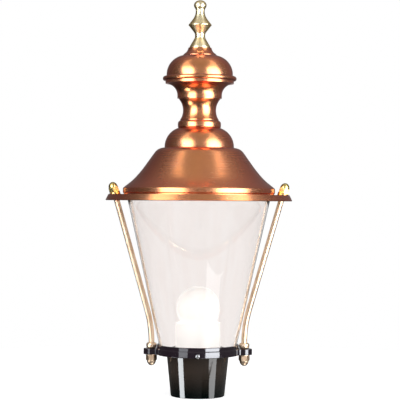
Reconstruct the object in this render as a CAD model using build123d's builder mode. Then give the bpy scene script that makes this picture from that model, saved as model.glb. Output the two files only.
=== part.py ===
from build123d import *
from math import asin, atan2, cos, degrees, radians, sin, sqrt, tan
import os

# A post top lantern: a spun copper roof with a brass finial over a tapered glass, clamped
# to a black base ring by two bent brass rods, and a tapered socket that slips over a post.
# Millimetres, +Z up. The origin is the middle of the socket's foot, the front faces -Y and
# the rods stand at -X (left) and +X (right).

# ---------------------------------------------------------------- stock, threads and fits
COPPER = 1.5  # spun copper sheet
SLIP = 0.2  # radial play of fixed pieces that slide into each other
THREAD_PLAY = 0.06  # radial play of a nut or bulb cap that turns on its thread
CLEARANCE = 0.3  # air left between curved faces that must not rub
EDGE = 0.8  # small broken edge on cast and turned pieces
OVAL = 0.55  # handle of a curve that follows a quarter of an oval
GASKET = 2.0  # rubber under and over the glass

# ---------------------------------------------------------------- socket for the post
POST_RADIUS = 38.0
POST_CLEARANCE = 0.5
POST_DEPTH = 60.0
SOCKET_HEIGHT = 73.0
SOCKET_WALL = 9.0  # round the post, at the foot
SOCKET_FLARE = 7.5  # radius gained from the foot to the head
STOP_THICKNESS = 5.0  # web that the post's end stops against
CABLE_HOLE_RADIUS = 12.0
SPIGOT_STEP = 5.2  # in from the socket's head to the register under the base ring
SPIGOT_HEIGHT = 7.0
SPIGOT_WALL = 7.8
GRUB_RADIUS = 4.0
GRUB_LENGTH = 9.0
GRUB_HEIGHT = 25.0  # above the socket's foot
GRUB_KEY = 4.0  # across the flats of its hexagon socket
GRUB_KEY_DEPTH = 4.0
GRUB_ANGLES = {"right": 0, "back": 90, "left": 180}

# ---------------------------------------------------------------- base ring and its ears
RING_THICKNESS = 11.0
RIM_HEIGHT = 7.0  # wall that the glass stands in
RIM_WALL = 2.2
RIM_STEP = 1.1  # from the ring's face in to the rim
RIM_PLAY = 2.1  # between the rim and the foot of the glass
SEAT_MARGIN = 2.1  # from the inside of the glass in to the gear plate's sinking
EAR_THICKNESS = 10.5
EAR_HALF_WIDTH = 14.0
EAR_CORNER = 5.0  # inner corner between an ear and the ring
RING_SCREW_RADIUS = 2.0
RING_SCREW_GRIP = 6.0  # length inside the spigot
RING_SCREW_START = -90  # the first of the ring screws faces the front
SCREW_COUNT = 3  # of each of the small screw circles in the base
FULL_TURN = 360.0
SCREW_HEAD = 1.75  # head radius over thread radius
SCREW_HEAD_HEIGHT = 1.1  # head height over thread radius
SLOT_WIDTH = 0.9
SLOT_DEPTH = 0.8

# ---------------------------------------------------------------- gear plate and what it carries
GEAR_PLATE_THICKNESS = 2.0
GEAR_SCREW_RADIUS = 2.0
GEAR_SCREW_LENGTH = 5.0
GEAR_SCREW_START = 90
COVER_WALL = 2.0  # of the white cup round the lampholder
COVER_GAP = 1.3  # between the cup and the cable gland
COVER_HEIGHT = 48.0
COVER_FOOT_WIDTH = 8.0
COVER_FOOT_THICKNESS = 1.5
COVER_SCREW_RADIUS = 1.5
COVER_SCREW_START = 30
HOLDER_WALL = 4.9  # ceramic round the screw shell
HOLDER_HEIGHT = 32.0
HOLDER_FLOOR = 8.0
SHELL_WALL = 0.7  # brass screw shell in the holder
SHELL_PLAY = 0.5  # between the shell and the lamp's cap
CONTACT_RADIUS = 6.0
CONTACT_THICKNESS = 1.5
TERMINAL_ANGLES = {"live": 120, "neutral": 240}
TERMINAL_WIDTH = 7.0
TERMINAL_HEIGHT = 7.5
TERMINAL_LENGTH = 9.0
BOSS_LENGTH = 4.5  # out from the holder
BOSS_MARGIN = 1.5
LEAD_RADIUS = 1.2
BLOCK_LENGTH = 20.0
BLOCK_WIDTH = 12.0
BLOCK_HEIGHT = 10.0
BLOCK_GAP = 3.0  # between the holder and the terminal block
BLOCK_HOLE = 1.6
GLAND_GAP = 2.0  # between the holder and the cable gland
GLAND_THREAD = 6.0
GLAND_FLATS = 15.0
GLAND_TURN = 30.0  # degrees from the hexagon's own start
GLAND_HEX_HEIGHT = 4.0
GLAND_DOME_RADIUS = 7.2
GLAND_HEIGHT = 13.0
GLAND_TAIL = 7.0  # thread under the plate
GLAND_BORE = 4.5
SEAL_BORE = 3.0
LOCKNUT_HEIGHT = 3.5
EARTH_RADIUS = 2.0
EARTH_HEIGHT = 9.0
EARTH_FLATS = 7.0
EARTH_NUT_HEIGHT = 3.2

# ---------------------------------------------------------------- bulb
GLOBE_RADIUS = 39.0
GLOBE_WALL = 1.2
CAP_RADIUS = 13.2
CAP_THREAD_DEPTH = 1.0
CAP_LENGTH = 21.0
CAP_PITCH = 3.6
CAP_WALL = 0.8
TIP_RADIUS = 4.8
TIP_HEIGHT = 1.6
INSULATOR_HEIGHT = 3.6
CONTACT_GAP = 0.3

# ---------------------------------------------------------------- glass
GLASS_HEIGHT = 265.5
GLASS_WALL = 4.0
GLASS_FOOT_RADIUS = 68.1
GLASS_HEAD_RADIUS = 127.2
CARRIER_WIDTH = 9.3  # ring that holds the glass by its taper
CARRIER_HEIGHT = 7.5
CARRIER_SCREW_RADIUS = 1.5
CARRIER_SCREW_MARGIN = 3.9  # in from the ring's outside
CARRIER_SCREW_COUNT = 4
CARRIER_SCREW_START = 45

# ---------------------------------------------------------------- roof flange and rain skirt
FLANGE_SHEET = 2.0
FLANGE_INSET = 15.2  # from the glass's head in to the flange's bore
FLANGE_MARGIN = 11.7  # from the rods out to where the lip turns down
LIP_FLARE = 5.0
LIP_DROP = 10.0
REFLECTOR_LAP = 6.0  # under the flange's bore
REFLECTOR_SHEET = 1.5
REFLECTOR_TURN = 3.0
CONE_HEIGHT = 82.5
CONE_LAP = 9.3  # sheet turned in under the crown
CONE_STEP = 11.4  # from the crown out to the skirt's shoulder
CONE_SHOULDER_ROUND = 20.0
CONE_WAIST_STEP = 27.1  # from the shoulder out to where the slope first flattens
CONE_WAIST_DROP = 38.0
CONE_WAIST_ROUND = 150.0
CONE_HIP_STEP = 15.1  # from the waist out to where it flattens again
CONE_HIP_DROP = 18.0
CONE_HIP_ROUND = 100.0
BEAD_GAP = 13.8  # from the rods in to the bead
BEAD_HEIGHT = 11.0
BEAD_ROUND = 3.0

# ---------------------------------------------------------------- chimney above the skirt
CROWN_RADIUS = 61.3
CROWN_SKIRT = 2.0
CROWN_ROUND = 35.0
CROWN_STEP = 1.6  # from the collar in to the crown's top
COLLAR_STEP = 4.1  # out from the neck's foot
COLLAR_WIDTH = 11.1
COLLAR_HEIGHT = 13.0
COLLAR_ROUND = 5.5
NECK_FOOT_RADIUS = 34.0
NECK_WAIST_RADIUS = 29.2
NECK_HEAD_RADIUS = 36.3
NECK_HEIGHT = 39.0
NECK_WAIST_HEIGHT = 19.5
FUNNEL_STEP = 3.0  # out from the neck's head
FUNNEL_LIP = 5.1
FUNNEL_ROUND = 21.2
FUNNEL_RIM = 4.7
SEAM_STEP = 4.7  # out from the funnel's rim
SEAM_WIDTH = 13.2
SEAM_HEIGHT = 8.0
DOME_STEP = 1.9  # in from the funnel's rim
DOME_SKIRT = 3.3
DOME_ROUND = 34.0
INNER_LIP = 8.0  # sheet turned in where one copper piece stands on the next

# ---------------------------------------------------------------- finial and its seat
SEAT_STEP = 2.0  # out from the finial's base
SEAT_RIDGE_STEP = 6.8  # out from the seat's head
SEAT_FOOT_STEP = 2.4  # out from the ridge
SEAT_RIDGE = 3.4
SEAT_HEIGHT = 13.5
SEAT_HOLLOW = 14.0
FINIAL_BASE_RADIUS = 18.6
FINIAL_BASE_HEIGHT = 3.2
FINIAL_BELL_STEP = 0.8  # in from the base
FINIAL_NECK_RADIUS = 8.9
FINIAL_NECK_HEIGHT = 25.5
FINIAL_NECK_LENGTH = 7.3
FINIAL_NECK_ROUND = 9.0
FINIAL_RIM_RADIUS = 20.4
FINIAL_RIM_HEIGHT = 40.6
FINIAL_RIM_EDGE = 3.0
FINIAL_STEM_RADIUS = 7.8
FINIAL_STEM_HEIGHT = 66.0
FINIAL_KNOB_RADIUS = 11.2
FINIAL_KNOB_HEIGHT = 75.5
FINIAL_HEIGHT = 84.5
FINIAL_THREAD_DEPTH = 34.0

# ---------------------------------------------------------------- tie rod through the roof
TIE_RADIUS = 4.0
TIE_TAIL = 3.0
TIE_TIP_GAP = 2.0
TIE_NUT_FLATS = 13.0
TIE_NUT_HEIGHT = 6.5
TIE_WASHER_RADIUS = 12.0
TIE_WASHER = 1.6
BRIDGE_LAP = 13.0  # on the flange, at each end
BRIDGE_WIDTH = 24.0
BRIDGE_THICKNESS = 5.0

# ---------------------------------------------------------------- brass rods and their nuts
ROD_RADIUS = 5.0
ROD_STANDOFF = 8.5  # out from the base ring
ROD_HEAD_GAP = 3.8  # between the glass carrier and the collars under the flange
ROD_BEND_RADIUS = 208.0
ROD_BEND_START = 11.5  # above the ear
ROD_HOLE_PLAY = 0.4
NUT_FLATS = 17.0
NUT_HEX_HEIGHT = 9.0
NUT_DOME_RADIUS = 8.1
NUT_HEIGHT = 18.4
NUT_BORE_DEPTH = 13.0
ROD_GRIP = 12.0  # rod inside its cap nut
WASHER_RADIUS = 9.5
WASHER_THICKNESS = 1.6
WEDGE_EDGE = 0.8  # thin side of the wedge washer
UNDER_COLLAR_RADIUS = 8.0
UNDER_COLLAR_LENGTH = 5.0
SHOULDER_RADIUS = 9.2
SHOULDER_HEIGHT = 10.0
SHOULDER_ROUND = 3.6

# ---------------------------------------------------------------- radii that follow: the base
post_bore = POST_RADIUS + POST_CLEARANCE
socket_foot_radius = post_bore + SOCKET_WALL
socket_head_radius = socket_foot_radius + SOCKET_FLARE
spigot_radius = socket_head_radius - SPIGOT_STEP
spigot_bore = spigot_radius - SPIGOT_WALL
ring_bore = spigot_radius + SLIP
rim_inner = GLASS_FOOT_RADIUS + RIM_PLAY
rim_outer = rim_inner + RIM_WALL
ring_radius = rim_outer + RIM_STEP
recess_radius = GLASS_FOOT_RADIUS - GLASS_WALL - SEAT_MARGIN
gear_plate_radius = recess_radius - SLIP
gear_screw_circle = (ring_bore + recess_radius) / 2
rod_foot_radius = ring_radius + ROD_STANDOFF

# ---------------------------------------------------------------- radii that follow: the lamp
cap_root = CAP_RADIUS - CAP_THREAD_DEPTH
shell_inner = CAP_RADIUS + SHELL_PLAY
shell_outer = shell_inner + SHELL_WALL
holder_bore = shell_outer + SLIP
holder_radius = holder_bore + HOLDER_WALL
boss_reach = holder_radius + BOSS_LENGTH
terminal_reach = boss_reach + TERMINAL_LENGTH
lead_circle = (boss_reach + terminal_reach) / 2
block_centre = holder_radius + BLOCK_GAP + BLOCK_WIDTH / 2
gland_centre = holder_radius + GLAND_GAP + GLAND_FLATS / 2
cover_inner = gland_centre + GLAND_FLATS / 2 + COVER_GAP
cover_radius = cover_inner + COVER_WALL
cover_screw_circle = cover_radius + COVER_FOOT_WIDTH / 2

# ---------------------------------------------------------------- radii that follow: the roof
glass_slope = (GLASS_HEAD_RADIUS - GLASS_FOOT_RADIUS) / GLASS_HEIGHT
carrier_radius = GLASS_HEAD_RADIUS + CARRIER_WIDTH
carrier_screw_circle = carrier_radius - CARRIER_SCREW_MARGIN
rod_head_radius = carrier_radius + UNDER_COLLAR_RADIUS + ROD_HEAD_GAP
flange_bore = GLASS_HEAD_RADIUS - FLANGE_INSET
flange_radius = rod_head_radius + FLANGE_MARGIN
reflector_radius = flange_bore + REFLECTOR_LAP
bead_radius = rod_head_radius - BEAD_GAP
cone_shoulder = CROWN_RADIUS + CONE_STEP
cone_waist = cone_shoulder + CONE_WAIST_STEP
cone_hip = cone_waist + CONE_HIP_STEP
cone_mouth = CROWN_RADIUS - CONE_LAP
collar_radius = NECK_FOOT_RADIUS + COLLAR_STEP
collar_bore = collar_radius - COLLAR_WIDTH
crown_top_radius = collar_radius - CROWN_STEP
funnel_foot_radius = NECK_HEAD_RADIUS + FUNNEL_STEP
funnel_rim_radius = funnel_foot_radius + FUNNEL_ROUND
seam_radius = funnel_rim_radius + SEAM_STEP
dome_radius = funnel_rim_radius - DOME_STEP
seat_head_radius = FINIAL_BASE_RADIUS + SEAT_STEP
seat_ridge_radius = seat_head_radius + SEAT_RIDGE_STEP
seat_radius = seat_ridge_radius + SEAT_FOOT_STEP
nut_bore = ROD_RADIUS + THREAD_PLAY
tie_hole = TIE_RADIUS + CLEARANCE

# ---------------------------------------------------------------- heights that follow
spigot_top = SOCKET_HEIGHT + SPIGOT_HEIGHT
ring_top = SOCKET_HEIGHT + RING_THICKNESS
rim_top = ring_top + RIM_HEIGHT
ear_top = SOCKET_HEIGHT + EAR_THICKNESS
plate_top = spigot_top + GEAR_PLATE_THICKNESS
holder_floor = plate_top + HOLDER_FLOOR
tip_bottom = holder_floor + CONTACT_THICKNESS + CONTACT_GAP
cap_bottom = tip_bottom + TIP_HEIGHT + INSULATOR_HEIGHT
cap_top = cap_bottom + CAP_LENGTH
glass_foot = ring_top + GASKET
glass_head = glass_foot + GLASS_HEIGHT
flange_under = glass_head + GASKET
flange_top = flange_under + FLANGE_SHEET
reflector_under = flange_under - REFLECTOR_SHEET
cone_top = flange_top + CONE_HEIGHT
cone_waist_height = cone_top - CONE_WAIST_DROP
cone_hip_height = cone_waist_height - CONE_HIP_DROP
crown_rise = sqrt(CROWN_ROUND**2 - (crown_top_radius - CROWN_RADIUS + CROWN_ROUND) ** 2)
crown_top = cone_top + CROWN_SKIRT + crown_rise
collar_top = crown_top + COLLAR_HEIGHT
neck_top = collar_top + NECK_HEIGHT
funnel_rim_foot = neck_top + FUNNEL_LIP + FUNNEL_ROUND
funnel_top = funnel_rim_foot + FUNNEL_RIM
seam_top = funnel_top + SEAM_HEIGHT
dome_rise = sqrt(DOME_ROUND**2 - (seat_radius - dome_radius + DOME_ROUND) ** 2)
dome_top = seam_top + DOME_SKIRT + dome_rise
seat_top = dome_top + SEAT_HEIGHT
overall_height = seat_top + FINIAL_HEIGHT

pieces = {}


def keep(name, piece):
    """Label a finished piece and keep it under its node's name."""
    piece.label = name
    pieces[name] = piece


def glass_radius(height):
    """Outer radius of the glass at a height above the origin."""
    return GLASS_FOOT_RADIUS + (height - glass_foot) * glass_slope


def ring_between(inner, outer, low, high):
    """A flat-ended ring round the lantern's axis."""
    with BuildPart() as ring:
        with BuildSketch(Plane.XY.offset(low)):
            Circle(outer)
            Circle(inner, mode=Mode.SUBTRACT)
        extrude(amount=high - low)
    return ring.part


def pan_screw(radius, length):
    """A slotted pan head screw that points down, with the head's underside at the origin."""
    head_height = SCREW_HEAD_HEIGHT * radius
    with BuildPart() as screw:
        with BuildSketch():
            Circle(SCREW_HEAD * radius)
        extrude(amount=head_height)
        fillet(screw.edges().group_by(Axis.Z)[-1], head_height / 2)
        with BuildSketch(Plane.XY.offset(head_height)):
            Rectangle(2 * SCREW_HEAD * radius, SLOT_WIDTH)
        extrude(amount=-SLOT_DEPTH, mode=Mode.SUBTRACT)
        with BuildSketch():
            Circle(radius)
        extrude(amount=-length)
    return screw.part


def flush_screw(radius, length):
    """A slotted countersunk screw that points up, with its flat head down at the origin."""
    head_radius = SCREW_HEAD * radius
    with BuildPart() as screw:
        with BuildSketch():
            Circle(head_radius)
        extrude(amount=head_radius - radius, taper=45)
        with BuildSketch():
            Circle(radius)
        extrude(amount=length)
        with BuildSketch():
            Rectangle(2 * head_radius, SLOT_WIDTH)
        extrude(amount=SLOT_DEPTH, mode=Mode.SUBTRACT)
    return screw.part


def hex_nut(flats, height, bore):
    """A plain hexagon nut that stands on the origin."""
    with BuildPart() as nut:
        with BuildSketch():
            RegularPolygon(flats / 2, 6, major_radius=False)
            Circle(bore, mode=Mode.SUBTRACT)
        extrude(amount=height)
    return nut.part


def cap_nut():
    """A domed cap nut that stands on the origin, open at the foot."""
    with BuildPart() as nut:
        with BuildSketch():
            RegularPolygon(NUT_FLATS / 2, 6, major_radius=False)
        extrude(amount=NUT_HEX_HEIGHT)
        with BuildSketch(Plane.XZ):
            with BuildLine():
                Line((0, 0), (NUT_FLATS / 2, 0))
                Line((NUT_FLATS / 2, 0), (NUT_FLATS, NUT_HEX_HEIGHT / 2))
                Line((NUT_FLATS, NUT_HEX_HEIGHT / 2), (NUT_FLATS / 2, NUT_HEX_HEIGHT))
                Line((NUT_FLATS / 2, NUT_HEX_HEIGHT), (0, NUT_HEX_HEIGHT))
                Line((0, NUT_HEX_HEIGHT), (0, 0))
            make_face()
        revolve(axis=Axis.Z, mode=Mode.INTERSECT)
        with BuildSketch(Plane.XZ):
            with BuildLine():
                Line((0, NUT_HEX_HEIGHT), (NUT_DOME_RADIUS, NUT_HEX_HEIGHT))
                Bezier(
                    (NUT_DOME_RADIUS, NUT_HEX_HEIGHT),
                    (NUT_DOME_RADIUS, NUT_HEX_HEIGHT + OVAL * (NUT_HEIGHT - NUT_HEX_HEIGHT)),
                    (OVAL * NUT_DOME_RADIUS, NUT_HEIGHT),
                    (0, NUT_HEIGHT),
                )
                Line((0, NUT_HEIGHT), (0, NUT_HEX_HEIGHT))
            make_face()
        revolve(axis=Axis.Z)
        with BuildSketch():
            Circle(nut_bore)
        extrude(amount=NUT_BORE_DEPTH, mode=Mode.SUBTRACT)
    return nut.part


# ---------------------------------------------------------------- post socket
grub_hole_start = post_bore + CLEARANCE
ring_screw_height = SOCKET_HEIGHT + SPIGOT_HEIGHT / 2
ring_screw_planes = [
    Plane.XY.rotated((0, 0, RING_SCREW_START + turn * FULL_TURN / SCREW_COUNT))
    for turn in range(SCREW_COUNT)
]

with BuildPart() as post_socket:
    with BuildSketch(Plane.XZ):
        with BuildLine():
            Polyline(
                (post_bore, 0),
                (socket_foot_radius, 0),
                (socket_head_radius, SOCKET_HEIGHT),
                (spigot_radius, SOCKET_HEIGHT),
                (spigot_radius, spigot_top),
                (spigot_bore, spigot_top),
                (spigot_bore, POST_DEPTH + STOP_THICKNESS),
                (CABLE_HOLE_RADIUS, POST_DEPTH + STOP_THICKNESS),
                (CABLE_HOLE_RADIUS, POST_DEPTH),
                (post_bore, POST_DEPTH),
                close=True,
            )
        make_face()
    revolve(axis=Axis.Z)
    chamfer(post_socket.edges().group_by(Axis.Z)[0], EDGE)
    for angle in GRUB_ANGLES.values():
        outward = Plane.XY.rotated((0, 0, angle)).offset(GRUB_HEIGHT)
        with BuildSketch(Plane(outward.origin, x_dir=(0, 0, 1), z_dir=outward.x_dir)):
            Circle(GRUB_RADIUS + THREAD_PLAY)
        extrude(amount=socket_head_radius, mode=Mode.SUBTRACT)
    for outward in ring_screw_planes:
        with BuildSketch(
            Plane((0, 0, ring_screw_height), x_dir=(0, 0, 1), z_dir=outward.x_dir).offset(
                spigot_radius - RING_SCREW_GRIP
            )
        ):
            Circle(RING_SCREW_RADIUS)
        extrude(amount=2 * RING_SCREW_GRIP, mode=Mode.SUBTRACT)
keep("post_socket", post_socket.part)

# Each grub screw stands clear of the post at rest, flush inside its threaded hole.
for side, angle in GRUB_ANGLES.items():
    outward = Plane.XY.rotated((0, 0, angle))
    inner_end = Plane((0, 0, GRUB_HEIGHT), x_dir=(0, 0, 1), z_dir=outward.x_dir).offset(
        grub_hole_start
    )
    with BuildPart() as grub_screw:
        with BuildSketch(inner_end):
            Circle(GRUB_RADIUS)
        extrude(amount=GRUB_LENGTH)
        chamfer(grub_screw.edges().group_by(Axis(inner_end.origin, inner_end.z_dir))[0], EDGE)
        with BuildSketch(inner_end.offset(GRUB_LENGTH)):
            RegularPolygon(GRUB_KEY / 2, 6, major_radius=False)
        extrude(amount=-GRUB_KEY_DEPTH, mode=Mode.SUBTRACT)
    keep(f"grub_screw_{side}", grub_screw.part)

# ---------------------------------------------------------------- base ring
rod_hole = ROD_RADIUS + ROD_HOLE_PLAY

with BuildPart() as base_ring:
    with BuildSketch(Plane.XY.offset(SOCKET_HEIGHT)) as ring_outline:
        Circle(ring_radius)
        Rectangle(2 * rod_foot_radius, 2 * EAR_HALF_WIDTH)
        with Locations((rod_foot_radius, 0), (-rod_foot_radius, 0)):
            Circle(EAR_HALF_WIDTH)
        corner_reach = sqrt(ring_radius**2 - EAR_HALF_WIDTH**2)
        inner_corners = ring_outline.vertices().filter_by(
            lambda v: abs(abs(v.X) - corner_reach) < EDGE / 2
        )
        fillet(inner_corners, EAR_CORNER)
    extrude(amount=EAR_THICKNESS)
    fillet(base_ring.edges().group_by(Axis.Z)[-1], EDGE)
    fillet(base_ring.edges().group_by(Axis.Z)[0], EDGE)
    with BuildSketch(Plane.XZ):
        with BuildLine():
            Polyline(
                (recess_radius, ear_top - EDGE * 2),
                (ring_radius, ear_top - EDGE * 2),
                (ring_radius, ring_top - EDGE),
                (rim_outer, ring_top + EDGE),
                (rim_outer, rim_top - EDGE),
                (rim_outer - EDGE, rim_top),
                (rim_inner, rim_top),
                (rim_inner, ring_top),
                (recess_radius, ring_top),
                close=True,
            )
        make_face()
    revolve(axis=Axis.Z)
    with BuildSketch(Plane.XY.offset(SOCKET_HEIGHT)):
        Circle(ring_bore)
    extrude(amount=RING_THICKNESS, mode=Mode.SUBTRACT)
    with BuildSketch(Plane.XY.offset(spigot_top)):
        Circle(recess_radius)
    extrude(amount=RING_THICKNESS, mode=Mode.SUBTRACT)
    with BuildSketch(Plane.XY.offset(SOCKET_HEIGHT)):
        with Locations((rod_foot_radius, 0), (-rod_foot_radius, 0)):
            Circle(rod_hole)
    extrude(amount=EAR_THICKNESS, mode=Mode.SUBTRACT)
    for outward in ring_screw_planes:
        with BuildSketch(Plane((0, 0, ring_screw_height), x_dir=(0, 0, 1), z_dir=outward.x_dir)):
            Circle(RING_SCREW_RADIUS + SLIP)
        extrude(amount=ring_radius + EDGE, mode=Mode.SUBTRACT)
    with BuildSketch(Plane.XY.offset(spigot_top)):
        with PolarLocations(gear_screw_circle, SCREW_COUNT, start_angle=GEAR_SCREW_START):
            Circle(GEAR_SCREW_RADIUS)
    extrude(amount=-GEAR_SCREW_LENGTH, mode=Mode.SUBTRACT)
keep("base_ring", base_ring.part)

ring_screw = pan_screw(RING_SCREW_RADIUS, ring_radius - spigot_radius + RING_SCREW_GRIP)
with BuildPart() as ring_screws:
    for outward in ring_screw_planes:
        seat = Plane((0, 0, ring_screw_height), x_dir=(0, 0, 1), z_dir=outward.x_dir)
        with Locations(seat.offset(ring_radius)):
            add(ring_screw)
keep("ring_screws", ring_screws.part)

# ---------------------------------------------------------------- gear plate
with BuildPart() as gear_plate:
    with BuildSketch(Plane.XY.offset(spigot_top)):
        Circle(gear_plate_radius)
        with PolarLocations(gear_screw_circle, SCREW_COUNT, start_angle=GEAR_SCREW_START):
            Circle(GEAR_SCREW_RADIUS + SLIP, mode=Mode.SUBTRACT)
        with PolarLocations(cover_screw_circle, SCREW_COUNT, start_angle=COVER_SCREW_START):
            Circle(COVER_SCREW_RADIUS + SLIP, mode=Mode.SUBTRACT)
        with Locations((gland_centre, 0)):
            Circle(GLAND_THREAD + SLIP, mode=Mode.SUBTRACT)
        with Locations((0, -gland_centre)):
            Circle(EARTH_RADIUS + SLIP, mode=Mode.SUBTRACT)
    extrude(amount=GEAR_PLATE_THICKNESS)
keep("gear_plate", gear_plate.part)

gear_screw = pan_screw(GEAR_SCREW_RADIUS, GEAR_PLATE_THICKNESS + GEAR_SCREW_LENGTH - CLEARANCE)
with BuildPart() as gear_plate_screws:
    with Locations(Plane.XY.offset(plate_top)):
        with PolarLocations(gear_screw_circle, SCREW_COUNT, start_angle=GEAR_SCREW_START):
            add(gear_screw)
keep("gear_plate_screws", gear_plate_screws.part)

# ---------------------------------------------------------------- lampholder cover
with BuildPart() as lampholder_cover:
    with BuildSketch(Plane.XY.offset(plate_top)):
        Circle(cover_radius + COVER_FOOT_WIDTH)
        Circle(cover_inner, mode=Mode.SUBTRACT)
        with PolarLocations(cover_screw_circle, SCREW_COUNT, start_angle=COVER_SCREW_START):
            Circle(COVER_SCREW_RADIUS + SLIP, mode=Mode.SUBTRACT)
    extrude(amount=COVER_FOOT_THICKNESS)
    with BuildSketch(Plane.XY.offset(plate_top)):
        Circle(cover_radius)
        Circle(cover_inner, mode=Mode.SUBTRACT)
    extrude(amount=COVER_HEIGHT)
    fillet(lampholder_cover.edges().group_by(Axis.Z)[-1], COVER_WALL / 3)
keep("lampholder_cover", lampholder_cover.part)

cover_screw = pan_screw(COVER_SCREW_RADIUS, COVER_FOOT_THICKNESS + GEAR_PLATE_THICKNESS)
with BuildPart() as cover_screws:
    with Locations(Plane.XY.offset(plate_top + COVER_FOOT_THICKNESS)):
        with PolarLocations(cover_screw_circle, SCREW_COUNT, start_angle=COVER_SCREW_START):
            add(cover_screw)
keep("cover_screws", cover_screws.part)

# ---------------------------------------------------------------- lampholder
terminal_low = plate_top + BOSS_MARGIN
boss_width = TERMINAL_WIDTH + 2 * BOSS_MARGIN

with BuildPart() as lampholder:
    with BuildSketch(Plane.XY.offset(plate_top)):
        Circle(holder_radius)
    extrude(amount=HOLDER_HEIGHT)
    fillet(lampholder.edges().group_by(Axis.Z)[-1], BOSS_MARGIN)
    for angle in TERMINAL_ANGLES.values():
        with BuildSketch(Plane.XY.offset(plate_top)):
            with PolarLocations(boss_reach / 2, 1, start_angle=angle):
                Rectangle(boss_reach, boss_width)
        extrude(amount=TERMINAL_HEIGHT + 2 * BOSS_MARGIN)
    with BuildSketch(Plane.XY.offset(holder_floor)):
        Circle(holder_bore)
    extrude(amount=HOLDER_HEIGHT, mode=Mode.SUBTRACT)
keep("lampholder", lampholder.part)

keep(
    "lampholder_shell",
    ring_between(shell_inner, shell_outer, holder_floor, plate_top + HOLDER_HEIGHT - BOSS_MARGIN),
)

with BuildPart() as centre_contact:
    with BuildSketch(Plane.XY.offset(holder_floor)):
        Circle(CONTACT_RADIUS)
    extrude(amount=CONTACT_THICKNESS)
    chamfer(centre_contact.edges().group_by(Axis.Z)[-1], CONTACT_THICKNESS / 3)
keep("centre_contact", centre_contact.part)

with BuildPart() as holder_terminals:
    for angle in TERMINAL_ANGLES.values():
        with BuildSketch(Plane.XY.offset(terminal_low)):
            with PolarLocations((boss_reach + terminal_reach) / 2, 1, start_angle=angle):
                Rectangle(terminal_reach - boss_reach, TERMINAL_WIDTH)
        extrude(amount=TERMINAL_HEIGHT)
keep("holder_terminals", holder_terminals.part)

# ---------------------------------------------------------------- terminal block and leads
lead_height = terminal_low + TERMINAL_HEIGHT / 2

with BuildPart() as terminal_block:
    with BuildSketch(Plane.XY.offset(plate_top)):
        with Locations((-block_centre, 0)):
            Rectangle(BLOCK_WIDTH, BLOCK_LENGTH)
    extrude(amount=BLOCK_HEIGHT)
    with BuildSketch(Plane.XY.offset(plate_top + BLOCK_HEIGHT)):
        with Locations((-block_centre, BLOCK_LENGTH / 4), (-block_centre, -BLOCK_LENGTH / 4)):
            Circle(BLOCK_HOLE)
    extrude(amount=-BLOCK_HEIGHT / 3, mode=Mode.SUBTRACT)
keep("terminal_block", terminal_block.part)

# A lead runs round the holder from the block's end to its terminal's side.
block_end_angle = 180 - degrees(asin(BLOCK_LENGTH / 2 / lead_circle))
terminal_half_angle = degrees(asin(TERMINAL_WIDTH / 2 / lead_circle))
lead_margin = degrees(asin(LEAD_RADIUS * tan(radians(180 - block_end_angle)) / lead_circle))
terminal_margin = degrees(
    asin(LEAD_RADIUS * tan(radians(terminal_half_angle)) / lead_circle)
)
for name, angle in TERMINAL_ANGLES.items():
    lead_start = angle + terminal_half_angle + terminal_margin
    lead_end = block_end_angle - lead_margin
    if angle > 180:
        lead_start, lead_end = FULL_TURN - lead_end, angle - terminal_half_angle - terminal_margin
    start_plane = Plane.XZ.rotated((0, 0, lead_start))
    with BuildPart() as lead:
        with BuildSketch(start_plane):
            with Locations((lead_circle, lead_height)):
                Circle(LEAD_RADIUS)
        revolve(axis=Axis.Z, revolution_arc=lead_end - lead_start)
    keep(f"{name}_lead", lead.part)

# ---------------------------------------------------------------- cable gland and earth stud
with BuildPart() as cable_gland:
    with BuildSketch(Plane.XY.offset(plate_top)):
        with Locations((gland_centre, 0)):
            RegularPolygon(GLAND_FLATS / 2, 6, major_radius=False, rotation=GLAND_TURN)
    extrude(amount=GLAND_HEX_HEIGHT)
    with BuildSketch(Plane.XY.offset(plate_top)):
        with Locations((gland_centre, 0)):
            Circle(GLAND_DOME_RADIUS)
    extrude(amount=GLAND_HEIGHT)
    fillet(cable_gland.edges().group_by(Axis.Z)[-1], EDGE * 2)
    with BuildSketch(Plane.XY.offset(plate_top)):
        with Locations((gland_centre, 0)):
            Circle(GLAND_THREAD)
    extrude(amount=-GEAR_PLATE_THICKNESS - GLAND_TAIL)
    with BuildSketch(Plane.XY.offset(spigot_top - GLAND_TAIL)):
        with Locations((gland_centre, 0)):
            Circle(GLAND_BORE)
    extrude(amount=GLAND_TAIL + GEAR_PLATE_THICKNESS + GLAND_HEIGHT, mode=Mode.SUBTRACT)
keep("cable_gland", cable_gland.part)

with BuildPart() as gland_seal:
    with BuildSketch(Plane.XY.offset(plate_top)):
        with Locations((gland_centre, 0)):
            Circle(GLAND_BORE - SLIP / 2)
            Circle(SEAL_BORE, mode=Mode.SUBTRACT)
    extrude(amount=GLAND_HEIGHT - EDGE)
keep("gland_seal", gland_seal.part)

gland_nut = hex_nut(GLAND_FLATS, LOCKNUT_HEIGHT, GLAND_THREAD + SLIP)
with BuildPart() as gland_locknut:
    with Locations(Plane((gland_centre, 0, spigot_top - LOCKNUT_HEIGHT)).rotated((0, 0, GLAND_TURN))):
        add(gland_nut)
keep("gland_locknut", gland_locknut.part)

earth_place = Plane((0, -gland_centre, spigot_top), z_dir=(0, 0, -1))
earth_screw = pan_screw(EARTH_RADIUS, EARTH_HEIGHT + GEAR_PLATE_THICKNESS)
with BuildPart() as earth_stud:
    with Locations(earth_place):
        add(earth_screw)
keep("earth_stud", earth_stud.part)

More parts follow.
